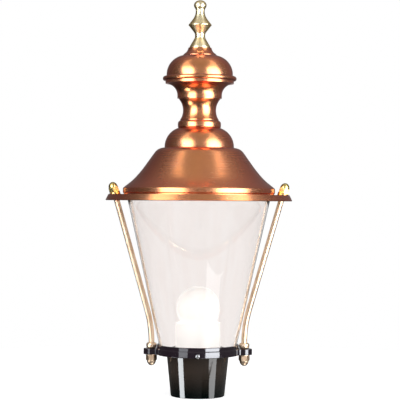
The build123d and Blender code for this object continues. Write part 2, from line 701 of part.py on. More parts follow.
earth_hex = hex_nut(EARTH_FLATS, EARTH_NUT_HEIGHT, EARTH_RADIUS + SLIP)
with BuildPart() as earth_nut:
    with Locations(Plane((0, -gland_centre, plate_top))):
        add(earth_hex)
keep("earth_nut", earth_nut.part)

# ---------------------------------------------------------------- bulb
globe_centre = cap_top + sqrt(GLOBE_RADIUS**2 - CAP_RADIUS**2)
inner_globe = GLOBE_RADIUS - GLOBE_WALL
neck_inner = CAP_RADIUS - GLOBE_WALL
inner_globe_foot = globe_centre - sqrt(inner_globe**2 - neck_inner**2)

with BuildPart() as bulb_globe:
    with BuildSketch(Plane.XZ):
        with BuildLine():
            ThreePointArc(
                (CAP_RADIUS, cap_top),
                (GLOBE_RADIUS, globe_centre),
                (0, globe_centre + GLOBE_RADIUS),
            )
            Line((0, globe_centre + GLOBE_RADIUS), (0, globe_centre + inner_globe))
            ThreePointArc(
                (0, globe_centre + inner_globe),
                (inner_globe, globe_centre),
                (neck_inner, inner_globe_foot),
            )
            Line((neck_inner, inner_globe_foot), (neck_inner, cap_top))
            Line((neck_inner, cap_top), (CAP_RADIUS, cap_top))
        make_face()
    revolve(axis=Axis.Z)
keep("bulb_globe", bulb_globe.part)

# The cap's round thread is a row of even rings, so that it can turn and rise in the shell.
thread_rings = int((CAP_LENGTH - CAP_PITCH) // CAP_PITCH)
with BuildPart() as bulb_cap:
    with BuildSketch(Plane.XY.offset(cap_bottom)):
        Circle(cap_root)
        Circle(cap_root - CAP_WALL, mode=Mode.SUBTRACT)
    extrude(amount=CAP_LENGTH)
    for ring in range(thread_rings):
        ring_height = cap_bottom + (ring + 1) * CAP_PITCH
        with BuildSketch(Plane.XZ):
            with BuildLine():
                ThreePointArc(
                    (cap_root, ring_height - CAP_PITCH / 3),
                    (CAP_RADIUS, ring_height),
                    (cap_root, ring_height + CAP_PITCH / 3),
                )
                Line((cap_root, ring_height + CAP_PITCH / 3), (cap_root, ring_height - CAP_PITCH / 3))
            make_face()
        revolve(axis=Axis.Z)
keep("bulb_cap", bulb_cap.part)

with BuildPart() as bulb_insulator:
    with BuildSketch(Plane.XZ):
        with BuildLine():
            Polyline(
                (0, tip_bottom + TIP_HEIGHT),
                (TIP_RADIUS, tip_bottom + TIP_HEIGHT),
                (cap_root, cap_bottom),
                (0, cap_bottom),
                close=True,
            )
        make_face()
    revolve(axis=Axis.Z)
keep("bulb_insulator", bulb_insulator.part)

with BuildPart() as bulb_tip:
    with BuildSketch(Plane.XY.offset(tip_bottom)):
        Circle(TIP_RADIUS)
    extrude(amount=TIP_HEIGHT)
    fillet(bulb_tip.edges().group_by(Axis.Z)[0], TIP_HEIGHT / 2)
keep("bulb_tip", bulb_tip.part)

# ---------------------------------------------------------------- glass and what holds it
keep(
    "lower_gasket",
    ring_between(recess_radius + EDGE, rim_inner - SLIP, ring_top, glass_foot),
)

with BuildPart() as glass:
    with BuildSketch(Plane.XZ):
        with BuildLine():
            Polyline(
                (GLASS_FOOT_RADIUS - GLASS_WALL, glass_foot),
                (GLASS_FOOT_RADIUS, glass_foot),
                (GLASS_HEAD_RADIUS, glass_head),
                (GLASS_HEAD_RADIUS - GLASS_WALL, glass_head),
                close=True,
            )
        make_face()
    revolve(axis=Axis.Z)
keep("glass", glass.part)

upper_gasket_inner = GLASS_HEAD_RADIUS - GLASS_WALL - EDGE
keep(
    "upper_gasket",
    ring_between(upper_gasket_inner, GLASS_HEAD_RADIUS, glass_head, flange_under),
)

carrier_foot = flange_under - CARRIER_HEIGHT
with BuildPart() as glass_carrier:
    with BuildSketch(Plane.XZ):
        with BuildLine():
            Polyline(
                (glass_radius(carrier_foot) + CLEARANCE, carrier_foot),
                (carrier_radius, carrier_foot),
                (carrier_radius, flange_under),
                (glass_radius(flange_under) + CLEARANCE, flange_under),
                close=True,
            )
        make_face()
    revolve(axis=Axis.Z)
    carrier_head = SCREW_HEAD * CARRIER_SCREW_RADIUS + SLIP
    with BuildSketch(Plane.XY.offset(carrier_foot)):
        with PolarLocations(
            carrier_screw_circle, CARRIER_SCREW_COUNT, start_angle=CARRIER_SCREW_START
        ):
            Circle(carrier_head)
    extrude(amount=carrier_head - CARRIER_SCREW_RADIUS - SLIP, taper=45, mode=Mode.SUBTRACT)
    with BuildSketch(Plane.XY.offset(carrier_foot)):
        with PolarLocations(
            carrier_screw_circle, CARRIER_SCREW_COUNT, start_angle=CARRIER_SCREW_START
        ):
            Circle(CARRIER_SCREW_RADIUS + SLIP)
    extrude(amount=CARRIER_HEIGHT, mode=Mode.SUBTRACT)
keep("glass_carrier", glass_carrier.part)

carrier_screw = flush_screw(CARRIER_SCREW_RADIUS, CARRIER_HEIGHT + FLANGE_SHEET)
with BuildPart() as carrier_screws:
    with Locations(Plane.XY.offset(carrier_foot)):
        with PolarLocations(
            carrier_screw_circle, CARRIER_SCREW_COUNT, start_angle=CARRIER_SCREW_START
        ):
            add(carrier_screw)
keep("carrier_screws", carrier_screws.part)

# ---------------------------------------------------------------- line of the brass rods
# The upper run is tangent to the bend and passes the flange's top at rod_head_radius.
ear_foot = SOCKET_HEIGHT
rod_foot = ear_foot - WASHER_THICKNESS - ROD_GRIP
bend_foot = ear_top + ROD_BEND_START
bend_centre_out = rod_foot_radius + ROD_BEND_RADIUS - rod_head_radius
bend_centre_down = flange_top - bend_foot
tilt = asin(ROD_BEND_RADIUS / sqrt(bend_centre_out**2 + bend_centre_down**2)) - atan2(
    bend_centre_out, bend_centre_down
)
bend_top = bend_foot + ROD_BEND_RADIUS * sin(tilt)
bend_top_radius = rod_foot_radius + ROD_BEND_RADIUS * (1 - cos(tilt))


def rod_point(height, side):
    """The point of a rod's centre line at a height above its bend; side is -1 or 1."""
    return (side * (bend_top_radius + (height - bend_top) * tan(tilt)), 0, height)


def rod_plane(height, side):
    """A plane square to a rod's upper run, through its centre line at a height."""
    return Plane(
        rod_point(height, side), x_dir=(0, 1, 0), z_dir=(side * sin(tilt), 0, cos(tilt))
    )


nut_seat = flange_top + WEDGE_EDGE * cos(tilt) + WASHER_RADIUS * sin(tilt)
rod_head = nut_seat + ROD_GRIP * cos(tilt)
SIDES = {"left": -1, "right": 1}

# ---------------------------------------------------------------- roof flange and reflector
with BuildPart() as roof_flange:
    with BuildSketch(Plane.XZ):
        with BuildLine():
            Polyline(
                (flange_bore, flange_top),
                (flange_radius, flange_top),
                (flange_radius + LIP_FLARE, flange_top - LIP_DROP),
            )
            offset(amount=FLANGE_SHEET, side=Side.RIGHT)
        make_face()
    revolve(axis=Axis.Z)
    for side in SIDES.values():
        with BuildSketch(rod_plane(flange_under - FLANGE_SHEET, side)):
            Circle(rod_hole)
        extrude(amount=4 * FLANGE_SHEET, mode=Mode.SUBTRACT)
    with BuildSketch(Plane.XY.offset(flange_under)):
        with PolarLocations(
            carrier_screw_circle, CARRIER_SCREW_COUNT, start_angle=CARRIER_SCREW_START
        ):
            Circle(CARRIER_SCREW_RADIUS + SLIP)
    extrude(amount=FLANGE_SHEET, mode=Mode.SUBTRACT)
keep("roof_flange", roof_flange.part)

with BuildPart() as reflector:
    with BuildSketch(Plane.XZ):
        with BuildLine():
            Polyline(
                (tie_hole, flange_under),
                (reflector_radius, flange_under),
                (reflector_radius, flange_under - REFLECTOR_SHEET - REFLECTOR_TURN),
            )
            offset(amount=REFLECTOR_SHEET, side=Side.RIGHT)
        make_face()
    revolve(axis=Axis.Z)
keep("reflector", reflector.part)

# ---------------------------------------------------------------- spun copper, bottom to top
with BuildPart() as roof_skirt:
    with BuildSketch(Plane.XZ):
        with BuildLine():
            FilletPolyline(
                (cone_mouth, cone_top),
                (cone_shoulder, cone_top),
                (cone_waist, cone_waist_height),
                (cone_hip, cone_hip_height),
                (bead_radius, flange_top + BEAD_HEIGHT),
                (bead_radius, flange_top + BEAD_ROUND),
                (bead_radius - COPPER, flange_top + COPPER),
                (bead_radius - COPPER, flange_top),
                radius=[
                    CONE_SHOULDER_ROUND, CONE_WAIST_ROUND, CONE_HIP_ROUND, BEAD_ROUND, EDGE, EDGE / 2
                ],
            )
            offset(amount=COPPER, side=Side.RIGHT)
        make_face()
    revolve(axis=Axis.Z)
keep("roof_skirt", roof_skirt.part)

with BuildPart() as crown_dome:
    with BuildSketch(Plane.XZ):
        with BuildLine():
            Line((CROWN_RADIUS, cone_top), (CROWN_RADIUS, cone_top + CROWN_SKIRT))
            TangentArc(
                (CROWN_RADIUS, cone_top + CROWN_SKIRT), (crown_top_radius, crown_top), tangent=(0, 1)
            )
            Line((crown_top_radius, crown_top), (crown_top_radius - INNER_LIP, crown_top))
            offset(amount=COPPER, side=Side.LEFT)
        make_face()
    revolve(axis=Axis.Z)
keep("crown_dome", crown_dome.part)

with BuildPart() as neck_collar:
    with BuildSketch(Plane.XY.offset(crown_top)):
        Circle(collar_radius)
        Circle(collar_bore, mode=Mode.SUBTRACT)
    extrude(amount=COLLAR_HEIGHT)
    fillet(neck_collar.edges().group_by(Axis.Z)[-1].sort_by(SortBy.LENGTH)[-1], COLLAR_ROUND)
    fillet(neck_collar.edges().group_by(Axis.Z)[0].sort_by(SortBy.LENGTH)[-1], COLLAR_ROUND / 3)
keep("neck_collar", neck_collar.part)

with BuildPart() as neck:
    with BuildSketch(Plane.XZ):
        with BuildLine():
            Line((NECK_FOOT_RADIUS, collar_top), (NECK_FOOT_RADIUS, collar_top + COPPER))
            ThreePointArc(
                (NECK_FOOT_RADIUS, collar_top + COPPER),
                (NECK_WAIST_RADIUS, collar_top + NECK_WAIST_HEIGHT),
                (NECK_HEAD_RADIUS, neck_top - COPPER),
            )
            Line((NECK_HEAD_RADIUS, neck_top - COPPER), (NECK_HEAD_RADIUS, neck_top))
            offset(amount=COPPER, side=Side.LEFT)
        make_face()
    revolve(axis=Axis.Z)
keep("neck", neck.part)

with BuildPart() as funnel:
    with BuildSketch(Plane.XZ):
        with BuildLine():
            Polyline(
                (funnel_foot_radius - INNER_LIP, neck_top),
                (funnel_foot_radius, neck_top),
                (funnel_foot_radius, neck_top + FUNNEL_LIP),
            )
            TangentArc(
                (funnel_foot_radius, neck_top + FUNNEL_LIP),
                (funnel_rim_radius, funnel_rim_foot),
                tangent=(0, 1),
            )
            Line((funnel_rim_radius, funnel_rim_foot), (funnel_rim_radius, funnel_top))
            offset(amount=COPPER, side=Side.LEFT)
        make_face()
    revolve(axis=Axis.Z)
keep("funnel", funnel.part)

with BuildPart() as seam_bead:
    with BuildSketch(Plane.XY.offset(funnel_top)):
        Circle(seam_radius)
        Circle(seam_radius - SEAM_WIDTH, mode=Mode.SUBTRACT)
    extrude(amount=SEAM_HEIGHT)
    outer_edges = seam_bead.edges().filter_by(GeomType.CIRCLE).sort_by(SortBy.RADIUS)[-2:]
    fillet(outer_edges, SEAM_HEIGHT / 2 - EDGE / 4)
keep("seam_bead", seam_bead.part)

with BuildPart() as cap_dome:
    with BuildSketch(Plane.XZ):
        with BuildLine():
            Line((dome_radius, seam_top), (dome_radius, seam_top + DOME_SKIRT))
            TangentArc(
                (dome_radius, seam_top + DOME_SKIRT), (seat_radius, dome_top), tangent=(0, 1)
            )
            Line((seat_radius, dome_top), (seat_radius - INNER_LIP, dome_top))
            offset(amount=COPPER, side=Side.LEFT)
        make_face()
    revolve(axis=Axis.Z)
keep("cap_dome", cap_dome.part)

with BuildPart() as finial_seat:
    with BuildSketch(Plane.XZ):
        with BuildLine():
            Polyline(
                (seat_head_radius, seat_top),
                (tie_hole, seat_top),
                (tie_hole, dome_top),
                (seat_radius, dome_top),
                (seat_radius, dome_top + EDGE),
                (seat_ridge_radius, dome_top + SEAT_RIDGE),
            )
            RadiusArc(
                (seat_ridge_radius, dome_top + SEAT_RIDGE),
                (seat_head_radius, seat_top),
                SEAT_HOLLOW,
            )
        make_face()
    revolve(axis=Axis.Z)
keep("finial_seat", finial_seat.part)

# ---------------------------------------------------------------- finial
with BuildPart() as finial:
    with BuildSketch(Plane.XZ):
        with BuildLine():
            bell_radius = FINIAL_BASE_RADIUS - FINIAL_BELL_STEP
            Line((0, seat_top), (FINIAL_BASE_RADIUS, seat_top))
            Line((FINIAL_BASE_RADIUS, seat_top), (FINIAL_BASE_RADIUS, seat_top + EDGE))
            Line(
                (FINIAL_BASE_RADIUS, seat_top + EDGE),
                (bell_radius, seat_top + FINIAL_BASE_HEIGHT),
            )
            neck_head = seat_top + FINIAL_NECK_HEIGHT
            rim_foot = seat_top + FINIAL_RIM_HEIGHT - FINIAL_RIM_EDGE / 2
            rim_head = seat_top + FINIAL_RIM_HEIGHT + FINIAL_RIM_EDGE / 2
            rim_shoulder = FINIAL_RIM_RADIUS - FINIAL_RIM_EDGE / 3
            FilletPolyline(
                (bell_radius, seat_top + FINIAL_BASE_HEIGHT),
                (FINIAL_NECK_RADIUS, neck_head - FINIAL_NECK_LENGTH),
                (FINIAL_NECK_RADIUS, neck_head),
                (rim_shoulder, rim_foot),
                radius=FINIAL_NECK_ROUND,
            )
            ThreePointArc(
                (rim_shoulder, rim_foot),
                (FINIAL_RIM_RADIUS, seat_top + FINIAL_RIM_HEIGHT),
                (rim_shoulder, rim_head),
            )
            stem = seat_top + FINIAL_STEM_HEIGHT
            Spline(
                (rim_shoulder, rim_head), (FINIAL_STEM_RADIUS, stem), tangents=((-2, 3), (0, 1))
            )
            Spline(
                (FINIAL_STEM_RADIUS, stem),
                (FINIAL_KNOB_RADIUS, seat_top + FINIAL_KNOB_HEIGHT),
                tangents=((0, 1), (0, 1)),
            )
            knob = seat_top + FINIAL_KNOB_HEIGHT
            Bezier(
                (FINIAL_KNOB_RADIUS, knob),
                (FINIAL_KNOB_RADIUS, knob + OVAL * (overall_height - knob)),
                (OVAL * FINIAL_KNOB_RADIUS, overall_height),
                (0, overall_height),
            )
            Line((0, overall_height), (0, seat_top))
        make_face()
    revolve(axis=Axis.Z)
    with BuildSketch(Plane.XY.offset(seat_top)):
        Circle(TIE_RADIUS + SLIP)
    extrude(amount=FINIAL_THREAD_DEPTH, mode=Mode.SUBTRACT)
keep("finial", finial.part)

# ---------------------------------------------------------------- tie rod, bridge and nuts
bridge_top = flange_top + BRIDGE_THICKNESS
lower_nut_foot = reflector_under - TIE_WASHER - TIE_NUT_HEIGHT
tie_tail = lower_nut_foot - TIE_TAIL
tie_tip = seat_top + FINIAL_THREAD_DEPTH - TIE_TIP_GAP

with BuildPart() as tie_rod:
    with BuildSketch(Plane.XY.offset(tie_tail)):
        Circle(TIE_RADIUS)
    extrude(amount=tie_tip - tie_tail)
    chamfer(tie_rod.edges().group_by(Axis.Z)[0], EDGE)
    chamfer(tie_rod.edges().group_by(Axis.Z)[-1], EDGE)
keep("tie_rod", tie_rod.part)

with BuildPart() as roof_bridge:
    with BuildSketch(Plane.XY.offset(flange_top)):
        RectangleRounded(2 * (flange_bore + BRIDGE_LAP), BRIDGE_WIDTH, BRIDGE_THICKNESS)
        Circle(tie_hole, mode=Mode.SUBTRACT)
    extrude(amount=BRIDGE_THICKNESS)
keep("roof_bridge", roof_bridge.part)

tie_nut = hex_nut(TIE_NUT_FLATS, TIE_NUT_HEIGHT, TIE_RADIUS + SLIP)
with BuildPart() as tie_nuts:
    with Locations(Plane.XY.offset(bridge_top), Plane.XY.offset(lower_nut_foot)):
        add(tie_nut)
keep("tie_nuts", tie_nuts.part)

keep("tie_spacer", ring_between(tie_hole, TIE_WASHER_RADIUS, flange_under, flange_top))
keep(
    "tie_washer",
    ring_between(tie_hole, TIE_WASHER_RADIUS, reflector_under - TIE_WASHER, reflector_under),
)

# ---------------------------------------------------------------- rods, washers and cap nuts
dome_nut = cap_nut()

for name, side in SIDES.items():
    with BuildPart() as rod:
        with BuildLine(Plane.XZ) as centre_line:
            Line((side * rod_foot_radius, rod_foot), (side * rod_foot_radius, bend_foot))
            bend = JernArc(
                (side * rod_foot_radius, bend_foot), (0, 1), ROD_BEND_RADIUS, -side * degrees(tilt)
            )
            head = rod_point(rod_head, side)
            Line(bend @ 1, (head[0], head[2]))
        with BuildSketch(Plane((side * rod_foot_radius, 0, rod_foot))):
            Circle(ROD_RADIUS)
        sweep()
        chamfer(rod.edges().filter_by(GeomType.CIRCLE).group_by(Axis.Z)[0], EDGE)
    keep(f"rod_{name}", rod.part)

    with BuildPart() as upper_washer:
        with BuildSketch(rod_plane(nut_seat, side)):
            Circle(WASHER_RADIUS)
            Circle(nut_bore, mode=Mode.SUBTRACT)
        extrude(amount=-2 * WASHER_RADIUS)
        split(bisect_by=Plane.XY.offset(flange_top), keep=Keep.TOP)
    keep(f"upper_washer_{name}", upper_washer.part)

    with BuildPart() as upper_cap_nut:
        with Locations(rod_plane(nut_seat, side)):
            add(dome_nut)
    keep(f"upper_cap_nut_{name}", upper_cap_nut.part)

    with BuildPart() as lower_washer:
        with BuildSketch(Plane((side * rod_foot_radius, 0, ear_foot))):
            Circle(WASHER_RADIUS)
            Circle(nut_bore, mode=Mode.SUBTRACT)
        extrude(amount=-WASHER_THICKNESS)
    keep(f"lower_washer_{name}", lower_washer.part)

    with BuildPart() as lower_cap_nut:
        with Locations(
            Plane(
                (side * rod_foot_radius, 0, ear_foot - WASHER_THICKNESS),
                x_dir=(1, 0, 0),
                z_dir=(0, 0, -1),
            )
        ):
            add(dome_nut)
    keep(f"lower_cap_nut_{name}", lower_cap_nut.part)

with BuildPart() as shoulder_nuts:
    with BuildSketch(Plane.XY.offset(ear_top)):
        with Locations((rod_foot_radius, 0), (-rod_foot_radius, 0)):
            Circle(SHOULDER_RADIUS)
            Circle(ROD_RADIUS + SLIP, mode=Mode.SUBTRACT)
    extrude(amount=SHOULDER_HEIGHT)
    rims = shoulder_nuts.edges().filter_by(GeomType.CIRCLE).group_by(SortBy.RADIUS)[-1]
    fillet(rims, SHOULDER_ROUND)
keep("shoulder_nuts", shoulder_nuts.part)

with BuildPart() as under_collars:
    for side in SIDES.values():
        with BuildSketch(rod_plane(flange_under - UNDER_COLLAR_LENGTH * cos(tilt), side)):
            Circle(UNDER_COLLAR_RADIUS)
            Circle(ROD_RADIUS + SLIP, mode=Mode.SUBTRACT)
        extrude(amount=2 * UNDER_COLLAR_RADIUS)
    split(bisect_by=Plane.XY.offset(flange_under), keep=Keep.BOTTOM)
keep("under_collars", under_collars.part)

# ---------------------------------------------------------------- one file for each piece
os.makedirs("parts", exist_ok=True)
for name, piece in pieces.items():
    export_step(piece, f"parts/{name}.step")
print(f"{len(pieces)} pieces, {overall_height:.1f} mm high")
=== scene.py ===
"""A copper and brass post top lantern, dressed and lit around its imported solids.

Every piece stands in the frame's own metres: the post's axis is Z, the foot of the socket is z = 0 and the
viewer stands at -Y. The solids keep their shapes; only the clear glass, with its melted rims, is made here.
"""

import logging
import math
from dataclasses import dataclass
from enum import Enum

import bmesh
import bpy
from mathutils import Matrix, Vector


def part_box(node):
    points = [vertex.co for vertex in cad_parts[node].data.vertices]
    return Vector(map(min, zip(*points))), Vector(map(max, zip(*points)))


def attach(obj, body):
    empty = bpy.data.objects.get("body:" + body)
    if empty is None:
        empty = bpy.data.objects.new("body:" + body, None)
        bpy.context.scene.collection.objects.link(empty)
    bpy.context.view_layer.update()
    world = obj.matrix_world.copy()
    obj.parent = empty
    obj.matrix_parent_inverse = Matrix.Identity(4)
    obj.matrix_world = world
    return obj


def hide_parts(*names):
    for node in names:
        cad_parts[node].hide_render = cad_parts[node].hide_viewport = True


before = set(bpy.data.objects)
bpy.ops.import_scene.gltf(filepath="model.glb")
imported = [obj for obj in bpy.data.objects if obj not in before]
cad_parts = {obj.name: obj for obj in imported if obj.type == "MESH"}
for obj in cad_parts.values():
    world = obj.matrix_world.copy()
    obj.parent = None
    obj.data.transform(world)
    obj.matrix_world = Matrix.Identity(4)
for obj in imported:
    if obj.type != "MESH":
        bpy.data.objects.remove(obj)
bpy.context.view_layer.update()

LOG = logging.getLogger("lantern")

Colour = tuple[float, float, float]
Value = bpy.types.NodeSocket | float
Tint = bpy.types.NodeSocket | Colour

MILLIMETRE = 0.001
MIX_SHARE, MIX_FIRST, MIX_SECOND, MIX_RESULT = 0, 6, 7, 2  # sockets of the mix node in its colour mode
ONE_OCTAVE = 1.0
TWO_OCTAVES = 2.0
THREE_OCTAVES = 3.0
FOUR_OCTAVES = 4.0
FIVE_OCTAVES = 5.0
LIT_MIDDLE = Vector((0, 0, 0.40))
PANEL_MIDDLE = Vector((0, 0, 0.42))


# ---------------------------------------------------------------- helpers


def box_of(node: str) -> tuple[Vector, Vector]:
    """Gives the lowest and the highest corner of a solid at rest."""
    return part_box(node)


def dress(node: str, material: bpy.types.Material) -> None:
    """Gives every slot of a carried-over solid one finish.

    Args:
        node: name of the solid.
        material: finish that it gets.
    """
    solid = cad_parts[node]
    if not solid.material_slots:
        solid.data.materials.append(material)
    for slot in solid.material_slots:
        slot.material = material
    LOG.info("%s gets %s", node, material.name)


def direction(azimuth: float, elevation: float) -> Vector:
    """Turns a pair of angles into a unit vector.

    Args:
        azimuth: degrees from the front (-Y) towards the right (+X).
        elevation: degrees above the horizon.

    Returns:
        The direction that the angles name.
    """
    turn, rise = math.radians(azimuth), math.radians(elevation)
    return Vector((math.sin(turn) * math.cos(rise), -math.cos(turn) * math.cos(rise), math.sin(rise)))


def mesh_object(name: str, mesh: bmesh.types.BMesh, material: bpy.types.Material) -> bpy.types.Object:
    """Turns a worked mesh into a smooth shaded object in the scene.

    Args:
        name: name of the object and of its mesh.
        mesh: the worked mesh, which is freed here.
        material: finish of the whole object.

    Returns:
        The new object, at the origin.
    """
    data = bpy.data.meshes.new(name)
    bmesh.ops.recalc_face_normals(mesh, faces=mesh.faces)
    mesh.to_mesh(data)
    mesh.free()
    data.polygons.foreach_set("use_smooth", [True] * len(data.polygons))
    data.materials.append(material)
    made = bpy.data.objects.new(name, data)
    bpy.context.scene.collection.objects.link(made)
    return made


def lathe(profile: list[tuple[float, float]], segments: int) -> bmesh.types.BMesh:
    """Turns a closed profile about Z.

    Args:
        profile: (radius, height) points in order round the section, none on the axis.
        segments: number of steps round the axis.

    Returns:
        A closed mesh, like a tube with that section.
    """
    mesh = bmesh.new()
    rings = []
    for step in range(segments):
        turn = 2 * math.pi * step / segments
        rings.append([mesh.verts.new((r * math.cos(turn), r * math.sin(turn), z)) for r, z in profile])
    for step, ring in enumerate(rings):
        following = rings[(step + 1) % segments]
        for point in range(len(profile)):
            after = (point + 1) % len(profile)
            mesh.faces.new((ring[point], ring[after], following[after], following[point]))
    return mesh


class Graph:
    """Adds and joins the nodes of one material or of the world."""

    def __init__(self, owner: bpy.types.Material | bpy.types.World) -> None:
        """Empties the owner's node tree and keeps it."""
        owner.use_nodes = True
        self.tree = owner.node_tree
        self.tree.nodes.clear()

    def add(self, kind: str, **settings: object) -> bpy.types.Node:
        """Adds a node of a kind, with its settings."""
        node = self.tree.nodes.new(kind)
        for name, value in settings.items():
            setattr(node, name, value)
        return node

    def feed(self, socket: bpy.types.NodeSocket, value: object) -> None:
        """Joins a socket to another node's output, or writes a constant on it.

        Args:
            socket: input that gets the value.
            value: an output socket, a number, a vector or a colour.
        """
        if isinstance(value, bpy.types.NodeSocket):
            self.tree.links.new(value, socket)
        elif socket.type == "RGBA":
            socket.default_value = (*value, 1.0)
        else:
            socket.default_value = value

    def maths(self, operation: str, *terms: Value, clamp: bool = False) -> bpy.types.NodeSocket:
        """Works out one operation on numbers.

        Args:
            operation: the operation's name, such as ADD.
            terms: its one to three terms.
            clamp: whether the result is kept between 0 and 1.

        Returns:
            The result's socket.
        """
        node = self.add("ShaderNodeMath", operation=operation, use_clamp=clamp)
        for socket, term in zip(node.inputs, terms):
            self.feed(socket, term)
        return node.outputs[0]

    def total(self, *terms: Value) -> Value:
        """Adds up any number of terms."""
        result = terms[0]
        for term in terms[1:]:
            result = self.maths("ADD", result, term)
        return result

    def product(self, *terms: Value) -> Value:
        """Multiplies any number of terms."""
        result = terms[0]
        for term in terms[1:]:
            result = self.maths("MULTIPLY", result, term)
        return result

    def blend(self, share: Value, first: Tint, second: Tint) -> bpy.types.NodeSocket:
        """Mixes two colours.

        Args:
            share: how much of the second colour there is, from 0 to 1.
            first: colour where the share is 0.
            second: colour where the share is 1.

        Returns:
            The mixed colour's socket.
        """
        node = self.add("ShaderNodeMix", data_type="RGBA")
        self.feed(node.inputs[MIX_SHARE], share)
        self.feed(node.inputs[MIX_FIRST], first)
        self.feed(node.inputs[MIX_SECOND], second)
        return node.outputs[MIX_RESULT]

    def ramp(self, value: Value, low: float, high: float, start: float = 0.0, end: float = 1.0) -> Value:
        """Leads a value smoothly from one level to another.

        Args:
            value: what is ramped.
            low: value at which the ramp starts.
            high: value at which it ends.
            start: level up to the ramp.
            end: level past it.

        Returns:
            The level's socket.
        """
        node = self.add("ShaderNodeMapRange", interpolation_type="SMOOTHSTEP")
        for socket, term in zip(node.inputs, (value, low, high, start, end)):
            self.feed(socket, term)
        return node.outputs[0]

    def vector(self, x: Value, y: Value, z: Value) -> bpy.types.NodeSocket:
        """Joins three numbers to a vector."""
        node = self.add("ShaderNodeCombineXYZ")
        for socket, term in zip(node.inputs, (x, y, z)):
            self.feed(socket, term)
        return node.outputs[0]

    def split(self, vector: bpy.types.NodeSocket) -> tuple[bpy.types.NodeSocket, ...]:
        """Gives the three numbers of a vector."""
        node = self.add("ShaderNodeSeparateXYZ")
        self.feed(node.inputs[0], vector)
        return tuple(node.outputs)

    def noise(self, where: bpy.types.NodeSocket, scale: float, detail: float = THREE_OCTAVES) -> Value:
        """Gives soft noise from 0 to 1.

        Args:
            where: point at which the noise is taken.
            scale: grains to a unit of that point.
            detail: octaves of finer noise.

        Returns:
            The noise's socket.
        """
        node = self.add("ShaderNodeTexNoise")
        self.feed(node.inputs["Vector"], where)
        node.inputs["Scale"].default_value = scale
        node.inputs["Detail"].default_value = detail
        return node.outputs[0]

    def place(self) -> bpy.types.NodeSocket:
        """Gives the point of the surface in the frame's metres."""
        return self.add("ShaderNodeTexCoord").outputs["Object"]

    def bump(self, height: Value, depth: float, strength: float = 1.0) -> bpy.types.NodeSocket:
        """Turns a height field into a normal.

        Args:
            height: the field, from 0 to 1.
            depth: metres from its lowest to its highest.
            strength: how much of it shows.

        Returns:
            The normal's socket.
        """
        node = self.add("ShaderNodeBump")
        node.inputs["Strength"].default_value = strength
        node.inputs["Distance"].default_value = depth
        self.feed(node.inputs["Height"], height)
        return node.outputs["Normal"]


# ---------------------------------------------------------------- finishes


@dataclass(frozen=True)
class Finish:
    """What every finish has: a name, a main colour and a roughness."""

    name: str
    colour: Colour
    roughness: float

    def start(self) -> tuple[bpy.types.Material, Graph, bpy.types.Node]:
        """Makes the material with its surface shader joined to the output.

        Returns:
            The material, its graph and its surface shader.
        """
        material = bpy.data.materials.new(self.name)
        graph = Graph(material)
        shader = graph.add("ShaderNodeBsdfPrincipled")
        output = graph.add("ShaderNodeOutputMaterial")
        graph.feed(output.inputs["Surface"], shader.outputs["BSDF"])
        material.diffuse_color = (*self.colour, 1.0)
        return material, graph, shader


